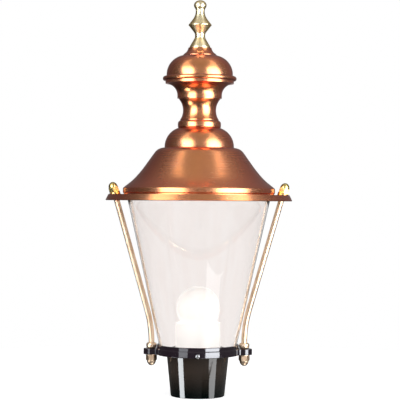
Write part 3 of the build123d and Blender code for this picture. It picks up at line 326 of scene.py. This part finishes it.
@dataclass(frozen=True)
class SpunMetal(Finish):
    """Sheet spun on a lathe about Z: fine rings, clouds of tarnish and bright specks, with painted shade
    that darkens and reddens the colour where the surface turns away from the viewer.
    """

    shade: Colour
    speck: Colour
    joints: tuple[float, ...] = ()
    ring_pitch: float = 1.1 * MILLIMETRE
    ring_depth: float = 0.012 * MILLIMETRE
    dent_depth: float = 0.25 * MILLIMETRE
    cloud_scale: float = 13.0
    speck_scale: float = 520.0
    joint_width: float = 2.2 * MILLIMETRE
    anisotropy: float = 0.35
    cloudiness: float = 0.45
    edge: Colour = (0.85, 0.52, 0.46)
    # painted shade: the darker, redder colour that edges turning away from the viewer get
    painted_edge_shade: Colour = (0.78, 0.155, 0.045)
    lacquer: float = 1.0
    lacquer_roughness: float = 0.3
    lacquer_ior: float = 1.7
    cloud_span: tuple[float, float] = (0.42, 0.66)
    speck_span: tuple[float, float] = (0.66, 0.74)
    pit_span: tuple[float, float] = (0.34, 0.27)
    # facing values over which that painted edge shade comes in
    painted_edge_shade_span: tuple[float, float] = (0.22, 0.62)
    speck_share: float = 0.35
    pit_share: float = 0.45
    joint_share: float = 0.75
    dent_scale: float = 34.0
    polish: float = 0.05
    cloud_roughness: float = 0.05
    ring_roughness: float = 0.08
    quarter_turn: float = 0.25

    def build(self) -> bpy.types.Material:
        """Makes the material.

        Returns:
            The finished material.
        """
        material, graph, shader = self.start()
        place = graph.place()
        x, y, z = graph.split(place)
        radius = graph.maths("SQRT", graph.total(graph.product(x, x), graph.product(y, y)))
        rings = graph.noise(graph.vector(radius, 0.0, z), 1 / self.ring_pitch, TWO_OCTAVES)
        clouds = graph.ramp(graph.noise(place, self.cloud_scale, FIVE_OCTAVES), *self.cloud_span)
        grains = graph.noise(place, self.speck_scale, ONE_OCTAVE)
        specks = graph.ramp(grains, *self.speck_span)
        pits = graph.ramp(grains, *self.pit_span)
        shaded = graph.product(clouds, self.cloudiness)
        for joint in self.joints:
            gap = graph.maths("ABSOLUTE", graph.maths("SUBTRACT", z, joint))
            near = graph.ramp(gap, 0.0, self.joint_width, self.joint_share, 0.0)
            shaded = graph.maths("MAXIMUM", shaded, near)
        # Painted shade: the colour turns darker and redder where the surface turns away from the viewer.
        facing = graph.add("ShaderNodeLayerWeight").outputs["Facing"]
        tone = graph.blend(graph.ramp(facing, *self.painted_edge_shade_span), self.colour, self.painted_edge_shade)
        tone = graph.blend(shaded, tone, self.shade)
        tone = graph.blend(graph.product(specks, self.speck_share), tone, self.speck)
        tone = graph.blend(graph.product(pits, self.pit_share), tone, self.shade)
        graph.feed(shader.inputs["Base Color"], tone)
        shader.inputs["Metallic"].default_value = 1.0
        rough = graph.total(
            self.roughness - self.polish,
            graph.product(clouds, self.cloud_roughness),
            graph.product(rings, self.ring_roughness),
        )
        graph.feed(shader.inputs["Roughness"], rough)
        shader.inputs["Specular Tint"].default_value = (*self.edge, 1.0)
        shader.inputs["Coat Weight"].default_value = self.lacquer
        shader.inputs["Coat Roughness"].default_value = self.lacquer_roughness
        shader.inputs["Coat IOR"].default_value = self.lacquer_ior
        shader.inputs["Anisotropic"].default_value = self.anisotropy
        shader.inputs["Anisotropic Rotation"].default_value = self.quarter_turn
        tangent = graph.add("ShaderNodeTangent", direction_type="RADIAL", axis="Z")
        graph.feed(shader.inputs["Tangent"], tangent.outputs[0])
        dents = graph.noise(place, self.dent_scale, ONE_OCTAVE)
        relief = graph.total(graph.product(rings, self.ring_depth), graph.product(dents, self.dent_depth))
        graph.feed(shader.inputs["Normal"], graph.bump(relief, 1.0))
        return material


@dataclass(frozen=True)
class TurnedMetal(Finish):
    """Metal worked all over: fine tool marks along one axis, smudges and worn grains."""

    shade: Colour
    along: tuple[float, float, float] = (1.0, 1.0, 0.12)
    grain_scale: float = 900.0
    grain_depth: float = 0.006 * MILLIMETRE
    smudge_scale: float = 55.0
    smudging: float = 0.5
    edge: Colour = (1.0, 1.0, 1.0)
    smudge_span: tuple[float, float] = (0.40, 0.68)
    grain_span: tuple[float, float] = (0.62, 0.80)
    grain_share: float = 0.35
    polish: float = 0.04
    smudge_roughness: float = 0.08
    grain_roughness: float = 0.05

    def build(self) -> bpy.types.Material:
        """Makes the material.

        Returns:
            The finished material.
        """
        material, graph, shader = self.start()
        place = graph.place()
        x, y, z = graph.split(place)
        stretched = graph.vector(*(graph.product(c, share) for c, share in zip((x, y, z), self.along)))
        grain = graph.noise(stretched, self.grain_scale, TWO_OCTAVES)
        smudge = graph.ramp(graph.noise(place, self.smudge_scale, FOUR_OCTAVES), *self.smudge_span)
        tone = graph.blend(graph.product(smudge, self.smudging), self.colour, self.shade)
        worn = graph.ramp(grain, *self.grain_span, 0.0, self.grain_share)
        tone = graph.blend(worn, tone, self.shade)
        graph.feed(shader.inputs["Base Color"], tone)
        shader.inputs["Metallic"].default_value = 1.0
        shader.inputs["Specular Tint"].default_value = (*self.edge, 1.0)
        rough = graph.total(
            self.roughness - self.polish,
            graph.product(smudge, self.smudge_roughness),
            graph.product(grain, self.grain_roughness),
        )
        graph.feed(shader.inputs["Roughness"], rough)
        graph.feed(shader.inputs["Normal"], graph.bump(grain, self.grain_depth))
        return material


@dataclass(frozen=True)
class Coating(Finish):
    """Paint, enamel, ceramic, plastic or rubber: a body colour with dust, orange peel and a clear coat,
    and, where it is set, a painted glow that brightens the surface though it is no lit lamp.
    """

    dust: Colour
    coat: float = 0.0
    coat_roughness: float = 0.05
    coat_ior: float = 1.5
    peel_scale: float = 420.0
    peel_depth: float = 0.02 * MILLIMETRE
    dustiness: float = 0.3
    subsurface: float = 0.0
    specular: float = 0.5
    # painted light: the surface gives off its own colour, though it is no lit lamp
    glow: float = 0.0
    foot_colour: Colour | None = None
    foot_span: tuple[float, float] = (0.0, 1.0)
    haze_scale: float = 28.0
    haze_span: tuple[float, float] = (0.45, 0.75)
    haze_roughness: float = 0.08
    grain_scale: float = 1400.0
    grain_span: tuple[float, float] = (0.70, 0.78)
    grain_roughness: float = 0.10
    scatter: tuple[float, float, float] = (4 * MILLIMETRE, 4 * MILLIMETRE, 3 * MILLIMETRE)

    def body(self, graph: Graph, place: bpy.types.NodeSocket) -> Tint:
        """Gives the body colour, which may change from the foot up.

        Args:
            graph: the material's graph.
            place: point of the surface.

        Returns:
            The colour or its socket.
        """
        if self.foot_colour is None:
            return self.colour
        height = graph.split(place)[2]
        return graph.blend(graph.ramp(height, *self.foot_span), self.foot_colour, self.colour)

    def build(self) -> bpy.types.Material:
        """Makes the material.

        Returns:
            The finished material.
        """
        material, graph, shader = self.start()
        place = graph.place()
        haze = graph.ramp(graph.noise(place, self.haze_scale, FIVE_OCTAVES), *self.haze_span)
        grains = graph.ramp(graph.noise(place, self.grain_scale, ONE_OCTAVE), *self.grain_span)
        peel = graph.noise(place, self.peel_scale, TWO_OCTAVES)
        share = graph.product(graph.maths("MAXIMUM", haze, grains), self.dustiness)
        graph.feed(shader.inputs["Base Color"], graph.blend(share, self.body(graph, place), self.dust))
        shader.inputs["Specular IOR Level"].default_value = self.specular
        rough = graph.total(
            self.roughness,
            graph.product(haze, self.haze_roughness),
            graph.product(grains, self.grain_roughness),
        )
        graph.feed(shader.inputs["Roughness"], rough)
        # Painted glow: the body colour is given off as light, to brighten the surface.
        graph.feed(shader.inputs["Emission Color"], self.colour)
        shader.inputs["Emission Strength"].default_value = self.glow
        shader.inputs["Coat Weight"].default_value = self.coat
        shader.inputs["Coat Roughness"].default_value = self.coat_roughness
        shader.inputs["Coat IOR"].default_value = self.coat_ior
        if self.subsurface:
            shader.inputs["Subsurface Weight"].default_value = self.subsurface
            shader.inputs["Subsurface Radius"].default_value = self.scatter
            shader.inputs["Subsurface Scale"].default_value = 1.0
        normal = graph.bump(peel, self.peel_depth)
        graph.feed(shader.inputs["Normal"], normal)
        graph.feed(shader.inputs["Coat Normal"], normal)
        return material


@dataclass(frozen=True)
class ClearGlass(Finish):
    """Blown clear glass: drawn streaks down the wall, a faint warm tint, light shadows."""

    ior: float = 1.5
    streak_depth: float = 0.05 * MILLIMETRE
    shadow: Colour = (0.93, 0.92, 0.915)
    pale: Colour = (0.972, 0.950, 0.940)
    streak_scale: float = 7.0
    streak_squeeze: float = 1.6
    streak_span: tuple[float, float] = (0.35, 0.7)
    pale_share: float = 0.6

    def build(self) -> bpy.types.Material:
        """Makes the material.

        Returns:
            The finished material.
        """
        material, graph, shader = self.start()
        place = graph.place()
        x, y, z = graph.split(place)
        radius = graph.maths("SQRT", graph.total(graph.product(x, x), graph.product(y, y)))
        around = graph.vector(
            graph.maths("DIVIDE", x, radius),
            graph.maths("DIVIDE", y, radius),
            graph.product(z, self.streak_squeeze),
        )
        streaks = graph.noise(around, self.streak_scale, THREE_OCTAVES)
        share = graph.ramp(streaks, *self.streak_span, 0.0, self.pale_share)
        tint = graph.blend(share, self.colour, self.pale)
        graph.feed(shader.inputs["Base Color"], tint)
        shader.inputs["Roughness"].default_value = self.roughness
        shader.inputs["IOR"].default_value = self.ior
        shader.inputs["Transmission Weight"].default_value = 1.0
        graph.feed(shader.inputs["Normal"], graph.bump(streaks, self.streak_depth))
        clear = graph.add("ShaderNodeBsdfTransparent")
        graph.feed(clear.inputs["Color"], self.shadow)
        path = graph.add("ShaderNodeLightPath")
        mix = graph.add("ShaderNodeMixShader")
        output = next(n for n in graph.tree.nodes if n.type == "OUTPUT_MATERIAL")
        graph.feed(mix.inputs[0], path.outputs["Is Shadow Ray"])
        graph.feed(mix.inputs[1], shader.outputs["BSDF"])
        graph.feed(mix.inputs[2], clear.outputs[0])
        graph.feed(output.inputs["Surface"], mix.outputs[0])
        return material


# ---------------------------------------------------------------- sub-assemblies

WARM_COPPER: Colour = (0.78, 0.255, 0.052)
DEEP_COPPER: Colour = (0.55, 0.15, 0.055)
BRIGHT_COPPER: Colour = (0.95, 0.55, 0.34)


@dataclass
class Roof:
    """The copper stack, from the flange up to the finial, with what clamps it inside."""

    spun: tuple[str, ...] = (
        "roof_flange", "roof_skirt", "crown_dome", "neck_collar", "neck", "funnel", "seam_bead", "cap_dome",
        "finial_seat",
    )
    hidden_steel: tuple[str, ...] = ("tie_rod", "tie_nuts", "tie_washer", "roof_bridge")

    def joints(self) -> tuple[float, ...]:
        """Gives the heights at which one copper piece stands on the next."""
        return tuple(round(box_of(piece)[0].z, 4) for piece in self.spun[2:])

    def build(self) -> None:
        """Dresses the stack."""
        copper = SpunMetal(
            "spun_copper_satin", WARM_COPPER, 0.24, DEEP_COPPER, BRIGHT_COPPER, joints=self.joints()
        ).build()
        for piece in self.spun:
            dress(piece, copper)
        gold = SpunMetal(
            "turned_gold_brass", (0.98, 0.86, 0.56), 0.32, (0.72, 0.50, 0.20), (1.0, 0.9, 0.6),
            ring_pitch=0.7 * MILLIMETRE, ring_depth=0.003 * MILLIMETRE, dent_depth=0.05 * MILLIMETRE,
            anisotropy=0.2, cloudiness=0.35, edge=(0.7, 0.6, 0.4), lacquer=0.5,
            # painted shade at the finial's edges that turn away from the viewer
            painted_edge_shade=(0.80, 0.56, 0.22),
        ).build()
        dress("finial", gold)
        steel = TurnedMetal("zinc_plated_steel", (0.62, 0.64, 0.67), 0.34, (0.40, 0.41, 0.43)).build()
        for piece in self.hidden_steel:
            dress(piece, steel)


@dataclass
class GlassWall:
    """The tapered clear glass, open at both ends, with its rims melted round."""

    wall: float = 4.0 * MILLIMETRE
    segments: int = 256
    courses: int = 16
    rim_steps: int = 8

    def section(self) -> list[tuple[float, float]]:
        """Gives the wall's section, as wide as the solid that it stands for.

        Returns:
            (radius, height) points: up the outside, over the head, down the inside, under the foot.
        """
        low, high = box_of("glass")
        head, foot = high.x, self.foot_radius()
        half = self.wall / 2
        slope = (head - foot) / (high.z - low.z)

        def middle(height: float) -> float:
            """Gives the radius at the middle of the wall."""
            return foot - half + (height - low.z) * slope

        start, end = low.z + half, high.z - half
        heights = [start + (end - start) * step / self.courses for step in range(self.courses + 1)]
        turns = [math.pi * step / self.rim_steps for step in range(1, self.rim_steps)]
        outside = [(middle(z) + half, z) for z in heights]
        over = [(middle(end) + half * math.cos(t), end + half * math.sin(t)) for t in turns]
        inside = [(middle(z) - half, z) for z in reversed(heights)]
        under = [(middle(start) - half * math.cos(t), start - half * math.sin(t)) for t in turns]
        return outside + over + inside + under

    def foot_radius(self) -> float:
        """Measures the outer radius of the solid at its foot."""
        low = box_of("glass")[0].z
        corners = (v.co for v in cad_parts["glass"].data.vertices if v.co.z < low + MILLIMETRE)
        return max(math.hypot(corner.x, corner.y) for corner in corners)

    def build(self) -> bpy.types.Object:
        """Makes the wall and lets it stand for the solid glass.

        Returns:
            The wall.
        """
        glass = ClearGlass("drawn_clear_glass", (0.955, 0.918, 0.902), 0.0).build()
        wall = mesh_object("glass_wall", lathe(self.section(), self.segments), glass)
        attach(wall, "top")
        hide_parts("glass")
        LOG.info("glass_wall stands for glass")
        return wall


@dataclass
class Lamp:
    """The opal globe, its holder and the white cup round it; the globe and the cup get a painted glow that
    brightens them.
    """

    def build(self) -> None:
        """Dresses the lamp and what carries it."""
        # Painted glow: the globe gives off a little of its own colour, which brightens it beyond the lamps'
        # light.
        opal = Coating(
            "opal_glass_white_painted_glow", (0.93, 0.93, 0.91), 0.16, (0.86, 0.86, 0.83), coat=0.5, coat_roughness=0.04,
            peel_scale=40.0, peel_depth=0.04 * MILLIMETRE, dustiness=0.2, subsurface=0.25, glow=0.32,
        ).build()
        dress("bulb_globe", opal)
        # Painted glow: the cup gives off its own colour, though it is no lamp.
        white = Coating(
            "white_cup_enamel_painted_glow", (0.94, 0.94, 0.92), 0.25, (0.84, 0.83, 0.80), coat=0.6,
            dustiness=0.2, glow=0.42,
        ).build()
        dress("lampholder_cover", white)


@dataclass
class Base:
    """The black ring with its ears, and the tapered socket under it."""

    def build(self) -> None:
        """Dresses the black castings, whose colours carry painted reflections of the copper."""
        # Painted reflection: the purple cast of the ring's colour and dust stands in for the copper above,
        # reflected in the black enamel.
        ring = Coating(
            "ring_black_enamel_painted_reflection", (0.012, 0.005, 0.011), 0.30, (0.03, 0.018, 0.025), coat=1.0,
            coat_roughness=0.06, coat_ior=1.7, peel_depth=0.03 * MILLIMETRE, specular=0.0, dustiness=0.2,
        ).build()
        dress("base_ring", ring)
        # Painted reflection: the brown cast above the foot stands in for the copper reflected in the
        # socket; the green-black at the foot is the enamel's own colour.
        socket = Coating(
            "socket_black_enamel_painted_reflection", (0.045, 0.033, 0.026), 0.30, (0.03, 0.03, 0.028), coat=1.0,
            coat_roughness=0.04, coat_ior=1.7, peel_depth=0.015 * MILLIMETRE, dustiness=0.1, specular=0.0,
            foot_colour=(0.0005, 0.003, 0.003), foot_span=(0.0, 0.055),
        ).build()
        dress("post_socket", socket)


class Hardware(Enum):
    """Kinds of finish on the small hard parts."""

    ROD_BRASS = "rod_brass"
    NUT_BRASS = "nut_brass"
    STAINLESS = "stainless"
    ZINC = "zinc"
    NICKEL = "nickel"
    WHITE_ENAMEL = "white_enamel"
    RUBBER = "rubber"
    WHITE_CERAMIC = "white_ceramic"
    BLACK_CERAMIC = "black_ceramic"
    WHITE_PLASTIC = "white_plastic"
    BLACK_PLASTIC = "black_plastic"
    BROWN_SLEEVE = "brown_sleeve"
    BLUE_SLEEVE = "blue_sleeve"
    PLAIN_BRASS = "plain_brass"


PALE_DUST: Colour = (0.86, 0.86, 0.84)

FINISHES: dict[Hardware, TurnedMetal | Coating] = {
    Hardware.ROD_BRASS: TurnedMetal(
        "rod_pale_brass", (0.86, 0.65, 0.46), 0.38, (0.60, 0.38, 0.22), edge=(0.5, 0.42, 0.36)
    ),
    Hardware.NUT_BRASS: TurnedMetal(
        "cap_nut_brass", (0.80, 0.62, 0.24), 0.18, (0.42, 0.28, 0.07), along=(1.0, 1.0, 1.0)
    ),
    Hardware.PLAIN_BRASS: TurnedMetal("plain_brass", (0.78, 0.56, 0.26), 0.28, (0.45, 0.29, 0.10)),
    Hardware.STAINLESS: TurnedMetal("stainless_steel", (0.60, 0.60, 0.60), 0.28, (0.42, 0.42, 0.43)),
    Hardware.ZINC: TurnedMetal("zinc_plate", (0.60, 0.62, 0.65), 0.36, (0.42, 0.43, 0.45)),
    Hardware.NICKEL: TurnedMetal("nickel_plate", (0.66, 0.63, 0.58), 0.22, (0.45, 0.43, 0.40)),
    Hardware.WHITE_ENAMEL: Coating("reflector_white_enamel", (0.90, 0.89, 0.87), 0.25, PALE_DUST, coat=0.6),
    Hardware.RUBBER: Coating("gasket_rubber", (0.018, 0.018, 0.019), 0.70, (0.09, 0.09, 0.09)),
    Hardware.WHITE_CERAMIC: Coating("holder_ceramic", (0.88, 0.87, 0.83), 0.20, PALE_DUST, coat=0.8),
    Hardware.BLACK_CERAMIC: Coating("cap_insulator", (0.02, 0.02, 0.022), 0.15, (0.06, 0.06, 0.06)),
    Hardware.WHITE_PLASTIC: Coating("moulded_white", (0.84, 0.83, 0.80), 0.40, PALE_DUST),
    Hardware.BLACK_PLASTIC: Coating("moulded_black", (0.025, 0.025, 0.027), 0.45, (0.08, 0.08, 0.08)),
    Hardware.BROWN_SLEEVE: Coating("brown_sleeve_pvc", (0.16, 0.06, 0.025), 0.42, (0.22, 0.12, 0.08)),
    Hardware.BLUE_SLEEVE: Coating("blue_sleeve_pvc", (0.03, 0.10, 0.38), 0.42, (0.12, 0.20, 0.42)),
}

SLOT_KINDS: dict[str, Hardware] = {
    "zinc_plate": Hardware.ZINC,
    "stainless": Hardware.STAINLESS,
    "nickel_plate": Hardware.NICKEL,
    "white_enamel": Hardware.WHITE_ENAMEL,
    "black_rubber": Hardware.RUBBER,
    "white_ceramic": Hardware.WHITE_CERAMIC,
    "black_ceramic": Hardware.BLACK_CERAMIC,
    "white_plastic": Hardware.WHITE_PLASTIC,
    "black_plastic": Hardware.BLACK_PLASTIC,
    "brown_sleeve": Hardware.BROWN_SLEEVE,
    "blue_sleeve": Hardware.BLUE_SLEEVE,
}


@dataclass
class SmallParts:
    """Rods, nuts, screws, gaskets and the electrical gear."""

    done: frozenset[str] = frozenset()

    def kind_of(self, slot: str, node: str) -> Hardware:
        """Chooses a finish by the record's slot and the piece's name.

        Args:
            slot: material slot of the record.
            node: name of the piece.

        Returns:
            The kind of finish.
        """
        if slot == "polished_brass":
            return Hardware.NUT_BRASS if node.startswith("upper") else Hardware.ROD_BRASS
        return SLOT_KINDS.get(slot, Hardware.PLAIN_BRASS)

    def build(self) -> None:
        """Dresses every solid that no other sub-assembly has dressed."""
        made: dict[Hardware, bpy.types.Material] = {}
        for node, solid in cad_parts.items():
            if node in self.done:
                continue
            slot = solid.material_slots[0].material.name if solid.material_slots else ""
            kind = self.kind_of(slot.split(".")[0], node)
            if kind not in made:
                made[kind] = FINISHES[kind].build()
            dress(node, made[kind])


# ---------------------------------------------------------------- studio


@dataclass(frozen=True)
class SoftBox:
    """A studio lamp: an even rectangle of light that faces the lantern."""

    name: str
    azimuth: float
    elevation: float
    distance: float
    size: tuple[float, float]
    level: float
    colour: Colour

    def build(self) -> None:
        """Makes the lamp, aimed at the middle of the lantern."""
        width, height = self.size
        data = bpy.data.lights.new(self.name, "AREA")
        data.shape = "RECTANGLE"
        data.size, data.size_y = width, height
        data.energy = self.level * math.pi * width * height
        data.color = self.colour
        lamp = bpy.data.objects.new(self.name, data)
        lamp.location = LIT_MIDDLE + self.distance * direction(self.azimuth, self.elevation)
        lamp.rotation_euler = (LIT_MIDDLE - lamp.location).to_track_quat("-Z", "Y").to_euler()
        lamp.visible_glossy = False
        lamp.visible_transmission = False
        bpy.context.scene.collection.objects.link(lamp)


@dataclass(frozen=True)
class Reflection:
    """A bright panel that only polished surfaces see, as they see the face of a softbox."""

    name: str
    rows: tuple[tuple[float, float, float], ...]
    levels: tuple[tuple[float, float], ...]
    colour: Colour
    on_glass: bool = False
    distance: float = 1.45
    lean: float = 0.0

    def level(self, graph: Graph) -> Value:
        """Gives the panel's level, which changes with height between the stops.

        Args:
            graph: the panel's graph.

        Returns:
            The level or its socket.
        """
        height = graph.split(graph.place())[2]
        (low, level), *stops = self.levels
        result: Value = level
        for high, following in stops:
            result = graph.total(result, graph.ramp(height, low, high, 0.0, following - level))
            low, level = high, following
        return result

    def build(self, glass: bpy.types.Collection) -> None:
        """Makes the panel from rows, each given by its elevation and the azimuths of its two ends.

        Args:
            glass: collection of the clear glass, which alone sees the panels that are meant for it.
        """
        material = bpy.data.materials.new(self.name)
        graph = Graph(material)
        glow = graph.add("ShaderNodeEmission")
        graph.feed(glow.inputs["Color"], self.colour)
        graph.feed(glow.inputs["Strength"], self.level(graph))
        output = graph.add("ShaderNodeOutputMaterial")
        graph.feed(output.inputs["Surface"], glow.outputs[0])
        mesh = bmesh.new()
        ends = [
            [
                mesh.verts.new(PANEL_MIDDLE + self.distance * direction(first, elevation)),
                mesh.verts.new(PANEL_MIDDLE + self.distance * direction(last, elevation + self.lean)),
            ]
            for elevation, first, last in self.rows
        ]
        for (a, b), (c, d) in zip(ends, ends[1:]):
            mesh.faces.new((a, b, d, c))
        panel = mesh_object(self.name, mesh, material)
        for way in ("visible_camera", "visible_diffuse", "visible_transmission", "visible_shadow"):
            setattr(panel, way, False)
        lit = glass.copy()
        panel.light_linking.receiver_collection = lit
        for member in lit.collection_objects:
            member.light_linking.link_state = "INCLUDE" if self.on_glass else "EXCLUDE"


@dataclass(frozen=True)
class Room:
    """The room's light: white where it is looked at, and softly uneven in polished metal."""

    ambient: float = 0.42
    mirrored: float = 0.165
    ahead_share: float = 0.24
    ahead_power: float = 1.5
    ahead_span: tuple[float, float] = (-0.20, 0.10)
    above_share: float = 0.38
    above_power: float = 4.0
    side_span: tuple[float, float] = (-0.8, 0.8)
    side_levels: tuple[float, float] = (-0.05, 0.04)
    backdrop_span: tuple[float, float] = (0.992, 0.999)
    below_span: tuple[float, float] = (-0.3, 0.0)
    below_level: float = -0.09

    def level(self, graph: Graph) -> Value:
        """Gives what polished metal sees of the room, by direction.

        Args:
            graph: the world's graph.

        Returns:
            The level's socket.
        """
        x, y, z = graph.split(graph.add("ShaderNodeTexCoord").outputs["Generated"])
        front = graph.maths("MAXIMUM", graph.product(y, -1.0), 0.0)
        ahead = graph.maths("POWER", front, self.ahead_power)
        ahead = graph.product(ahead, graph.ramp(z, *self.ahead_span))
        above = graph.maths("POWER", graph.maths("MAXIMUM", z, 0.0), self.above_power)
        side = graph.ramp(x, *self.side_span, *self.side_levels)
        backdrop = graph.ramp(y, *self.backdrop_span)
        below = graph.ramp(z, *self.below_span, self.below_level, 0.0)
        ahead, above = graph.product(ahead, self.ahead_share), graph.product(above, self.above_share)
        return graph.total(self.mirrored, ahead, above, side, below, backdrop)

    def build(self) -> None:
        """Makes the world and gives it to the scene."""
        world = bpy.data.worlds.new("studio_room")
        bpy.context.scene.world = world
        graph = Graph(world)
        level = self.level(graph)
        path = graph.add("ShaderNodeLightPath")
        looked = graph.maths("MAXIMUM", path.outputs["Is Camera Ray"], path.outputs["Is Transmission Ray"])
        mirrored = graph.product(path.outputs["Is Glossy Ray"], graph.maths("SUBTRACT", 1.0, looked))
        other = graph.maths("SUBTRACT", 1.0, graph.maths("MAXIMUM", looked, mirrored))
        strength = graph.total(looked, graph.product(mirrored, level), graph.product(other, self.ambient))
        background = graph.add("ShaderNodeBackground")
        graph.feed(background.inputs["Color"], (1.0, 1.0, 1.0))
        graph.feed(background.inputs["Strength"], strength)
        output = graph.add("ShaderNodeOutputWorld")
        graph.feed(output.inputs["Surface"], background.outputs[0])


@dataclass
class Studio:
    """Camera, floor, lamps and the room round them."""

    focal_length: float = 132.75
    sensor: float = 36.0
    eye: tuple[float, float, float] = (0.0020, -2.61, 0.346)
    roll: float = -0.41
    floor_radius: float = 0.9
    floor_gap: float = 0.2 * MILLIMETRE
    floor_glow: float = 0.62
    floor_paint: Colour = (0.82, 0.82, 0.82)
    floor_segments: int = 128
    view_depth: float = 50.0
    lamps: tuple[SoftBox, ...] = (
        SoftBox("key_left", -48, 26, 1.45, (1.1, 1.9), 2.1, (0.97, 0.985, 1.0)),
        SoftBox("key_right", 48, 26, 1.45, (1.1, 1.9), 2.1, (1.0, 1.0, 1.0)),
    )
    panels: tuple[Reflection, ...] = (
        Reflection(
            "panel_left",
            ((-20, -28, -52), (-9, -20, -56), (5, -20, -57), (30, -23, -66), (50, -42, -78), (64, -66, -88),
             (74, -68, -84)),
            ((0.10, 2.8), (0.50, 8.0), (0.95, 8.0), (1.40, 1.5)), (0.94, 0.98, 1.04),
        ),
        Reflection(
            "panel_right",
            ((-20, 20, 60), (-9, 26, 68), (5, 28, 76), (30, 28, 68), (50, 44, 78), (64, 68, 89),
             (74, 70, 84)),
            ((0.15, 12.0), (0.45, 8.5), (0.95, 8.5), (1.40, 1.7)), (0.96, 0.985, 1.04),
        ),
        Reflection("strip_left", ((-22, -58, -78), (-35, -56, -80)), ((0.0, 10.0),), (0.93, 0.97, 1.0)),
        Reflection("strip_right", ((-24, 44, 74), (-35, 42, 76)), ((0.0, 3.7),), (0.97, 0.985, 1.0)),
        Reflection("low_left", ((-60, -14, -70), (-85, -14, -70)), ((0.0, 1.0),), (0.97, 0.985, 1.0)),
        Reflection("low_right", ((-60, 18, 82), (-85, 18, 82)), ((0.0, 5.0),), (1.0, 1.0, 1.0)),
        Reflection(
            "window_low", ((-31.4, 17, 66), (-34.5, 17, 52), (-40, 20, 66)), ((0.0, 2.4),),
            (1.0, 1.0, 1.0), on_glass=True, lean=3.3,
        ),
        Reflection(
            "window_edge", ((-26, -51.5, -50), (-31, -46.5, -45)), ((0.0, 1.2),), (1.0, 1.0, 1.0),
            on_glass=True,
        ),
    )

    def build_camera(self) -> None:
        """Makes the camera at the photograph's height and angle."""
        data = bpy.data.cameras.new("viewer")
        data.lens, data.sensor_width = self.focal_length, self.sensor
        data.clip_end = self.view_depth
        camera = bpy.data.objects.new("viewer", data)
        camera.location = self.eye
        camera.rotation_euler = (math.pi / 2, math.radians(self.roll), 0)
        bpy.context.scene.collection.objects.link(camera)
        bpy.context.scene.camera = camera

    def build_floor(self) -> None:
        """Makes the pale floor just under the socket's foot."""
        material = bpy.data.materials.new("pale_floor")
        graph = Graph(material)
        paint = graph.add("ShaderNodeBsdfDiffuse")
        graph.feed(paint.inputs["Color"], self.floor_paint)
        glow = graph.add("ShaderNodeEmission")
        seen = self.seen(graph)
        graph.feed(glow.inputs["Strength"], graph.product(seen, self.floor_glow))
        both = graph.add("ShaderNodeAddShader")
        graph.feed(both.inputs[0], paint.outputs[0])
        graph.feed(both.inputs[1], glow.outputs[0])
        under = graph.add("ShaderNodeMixShader")
        graph.feed(under.inputs[0], graph.add("ShaderNodeNewGeometry").outputs["Backfacing"])
        graph.feed(under.inputs[1], graph.add("ShaderNodeBsdfTransparent").outputs[0])
        graph.feed(under.inputs[2], both.outputs[0])
        output = graph.add("ShaderNodeOutputMaterial")
        graph.feed(output.inputs["Surface"], under.outputs[0])
        mesh = bmesh.new()
        bmesh.ops.create_circle(
            mesh, cap_ends=True, segments=self.floor_segments, radius=self.floor_radius
        )
        bmesh.ops.translate(mesh, verts=mesh.verts, vec=(0, 0, -self.floor_gap))
        floor = mesh_object("floor", mesh, material)
        floor.visible_glossy = False

    def seen(self, graph: Graph) -> bpy.types.NodeSocket:
        """Gives 1 for the rays that look at the background, straight, through glass or by a mirror."""
        path = graph.add("ShaderNodeLightPath")
        straight, through = path.outputs["Is Camera Ray"], path.outputs["Is Transmission Ray"]
        either = graph.maths("MAXIMUM", straight, through)
        return graph.maths("MAXIMUM", either, path.outputs["Is Glossy Ray"])

    def build(self, glass: bpy.types.Object) -> None:
        """Makes the whole studio.

        Args:
            glass: the clear glass, which has panels of its own.
        """
        self.build_camera()
        self.build_floor()
        Room().build()
        for lamp in self.lamps:
            lamp.build()
        members = bpy.data.collections.new("clear_glass_only")
        members.objects.link(glass)
        for panel in self.panels:
            panel.build(members)
        bpy.context.scene.view_settings.view_transform = "Standard"
        LOG.info("studio built")


def main() -> None:
    """Builds the studio and the lantern."""
    logging.basicConfig(level=logging.INFO, format="%(name)s: %(message)s")
    Studio().build(GlassWall().build())
    dressed = frozenset(
        (*Roof.spun, *Roof.hidden_steel, "finial", "bulb_globe", "lampholder_cover", "base_ring",
         "post_socket", "glass")
    )
    SmallParts(dressed).build()
    Roof().build()
    Lamp().build()
    Base().build()


if __name__ == "__main__":
    main()
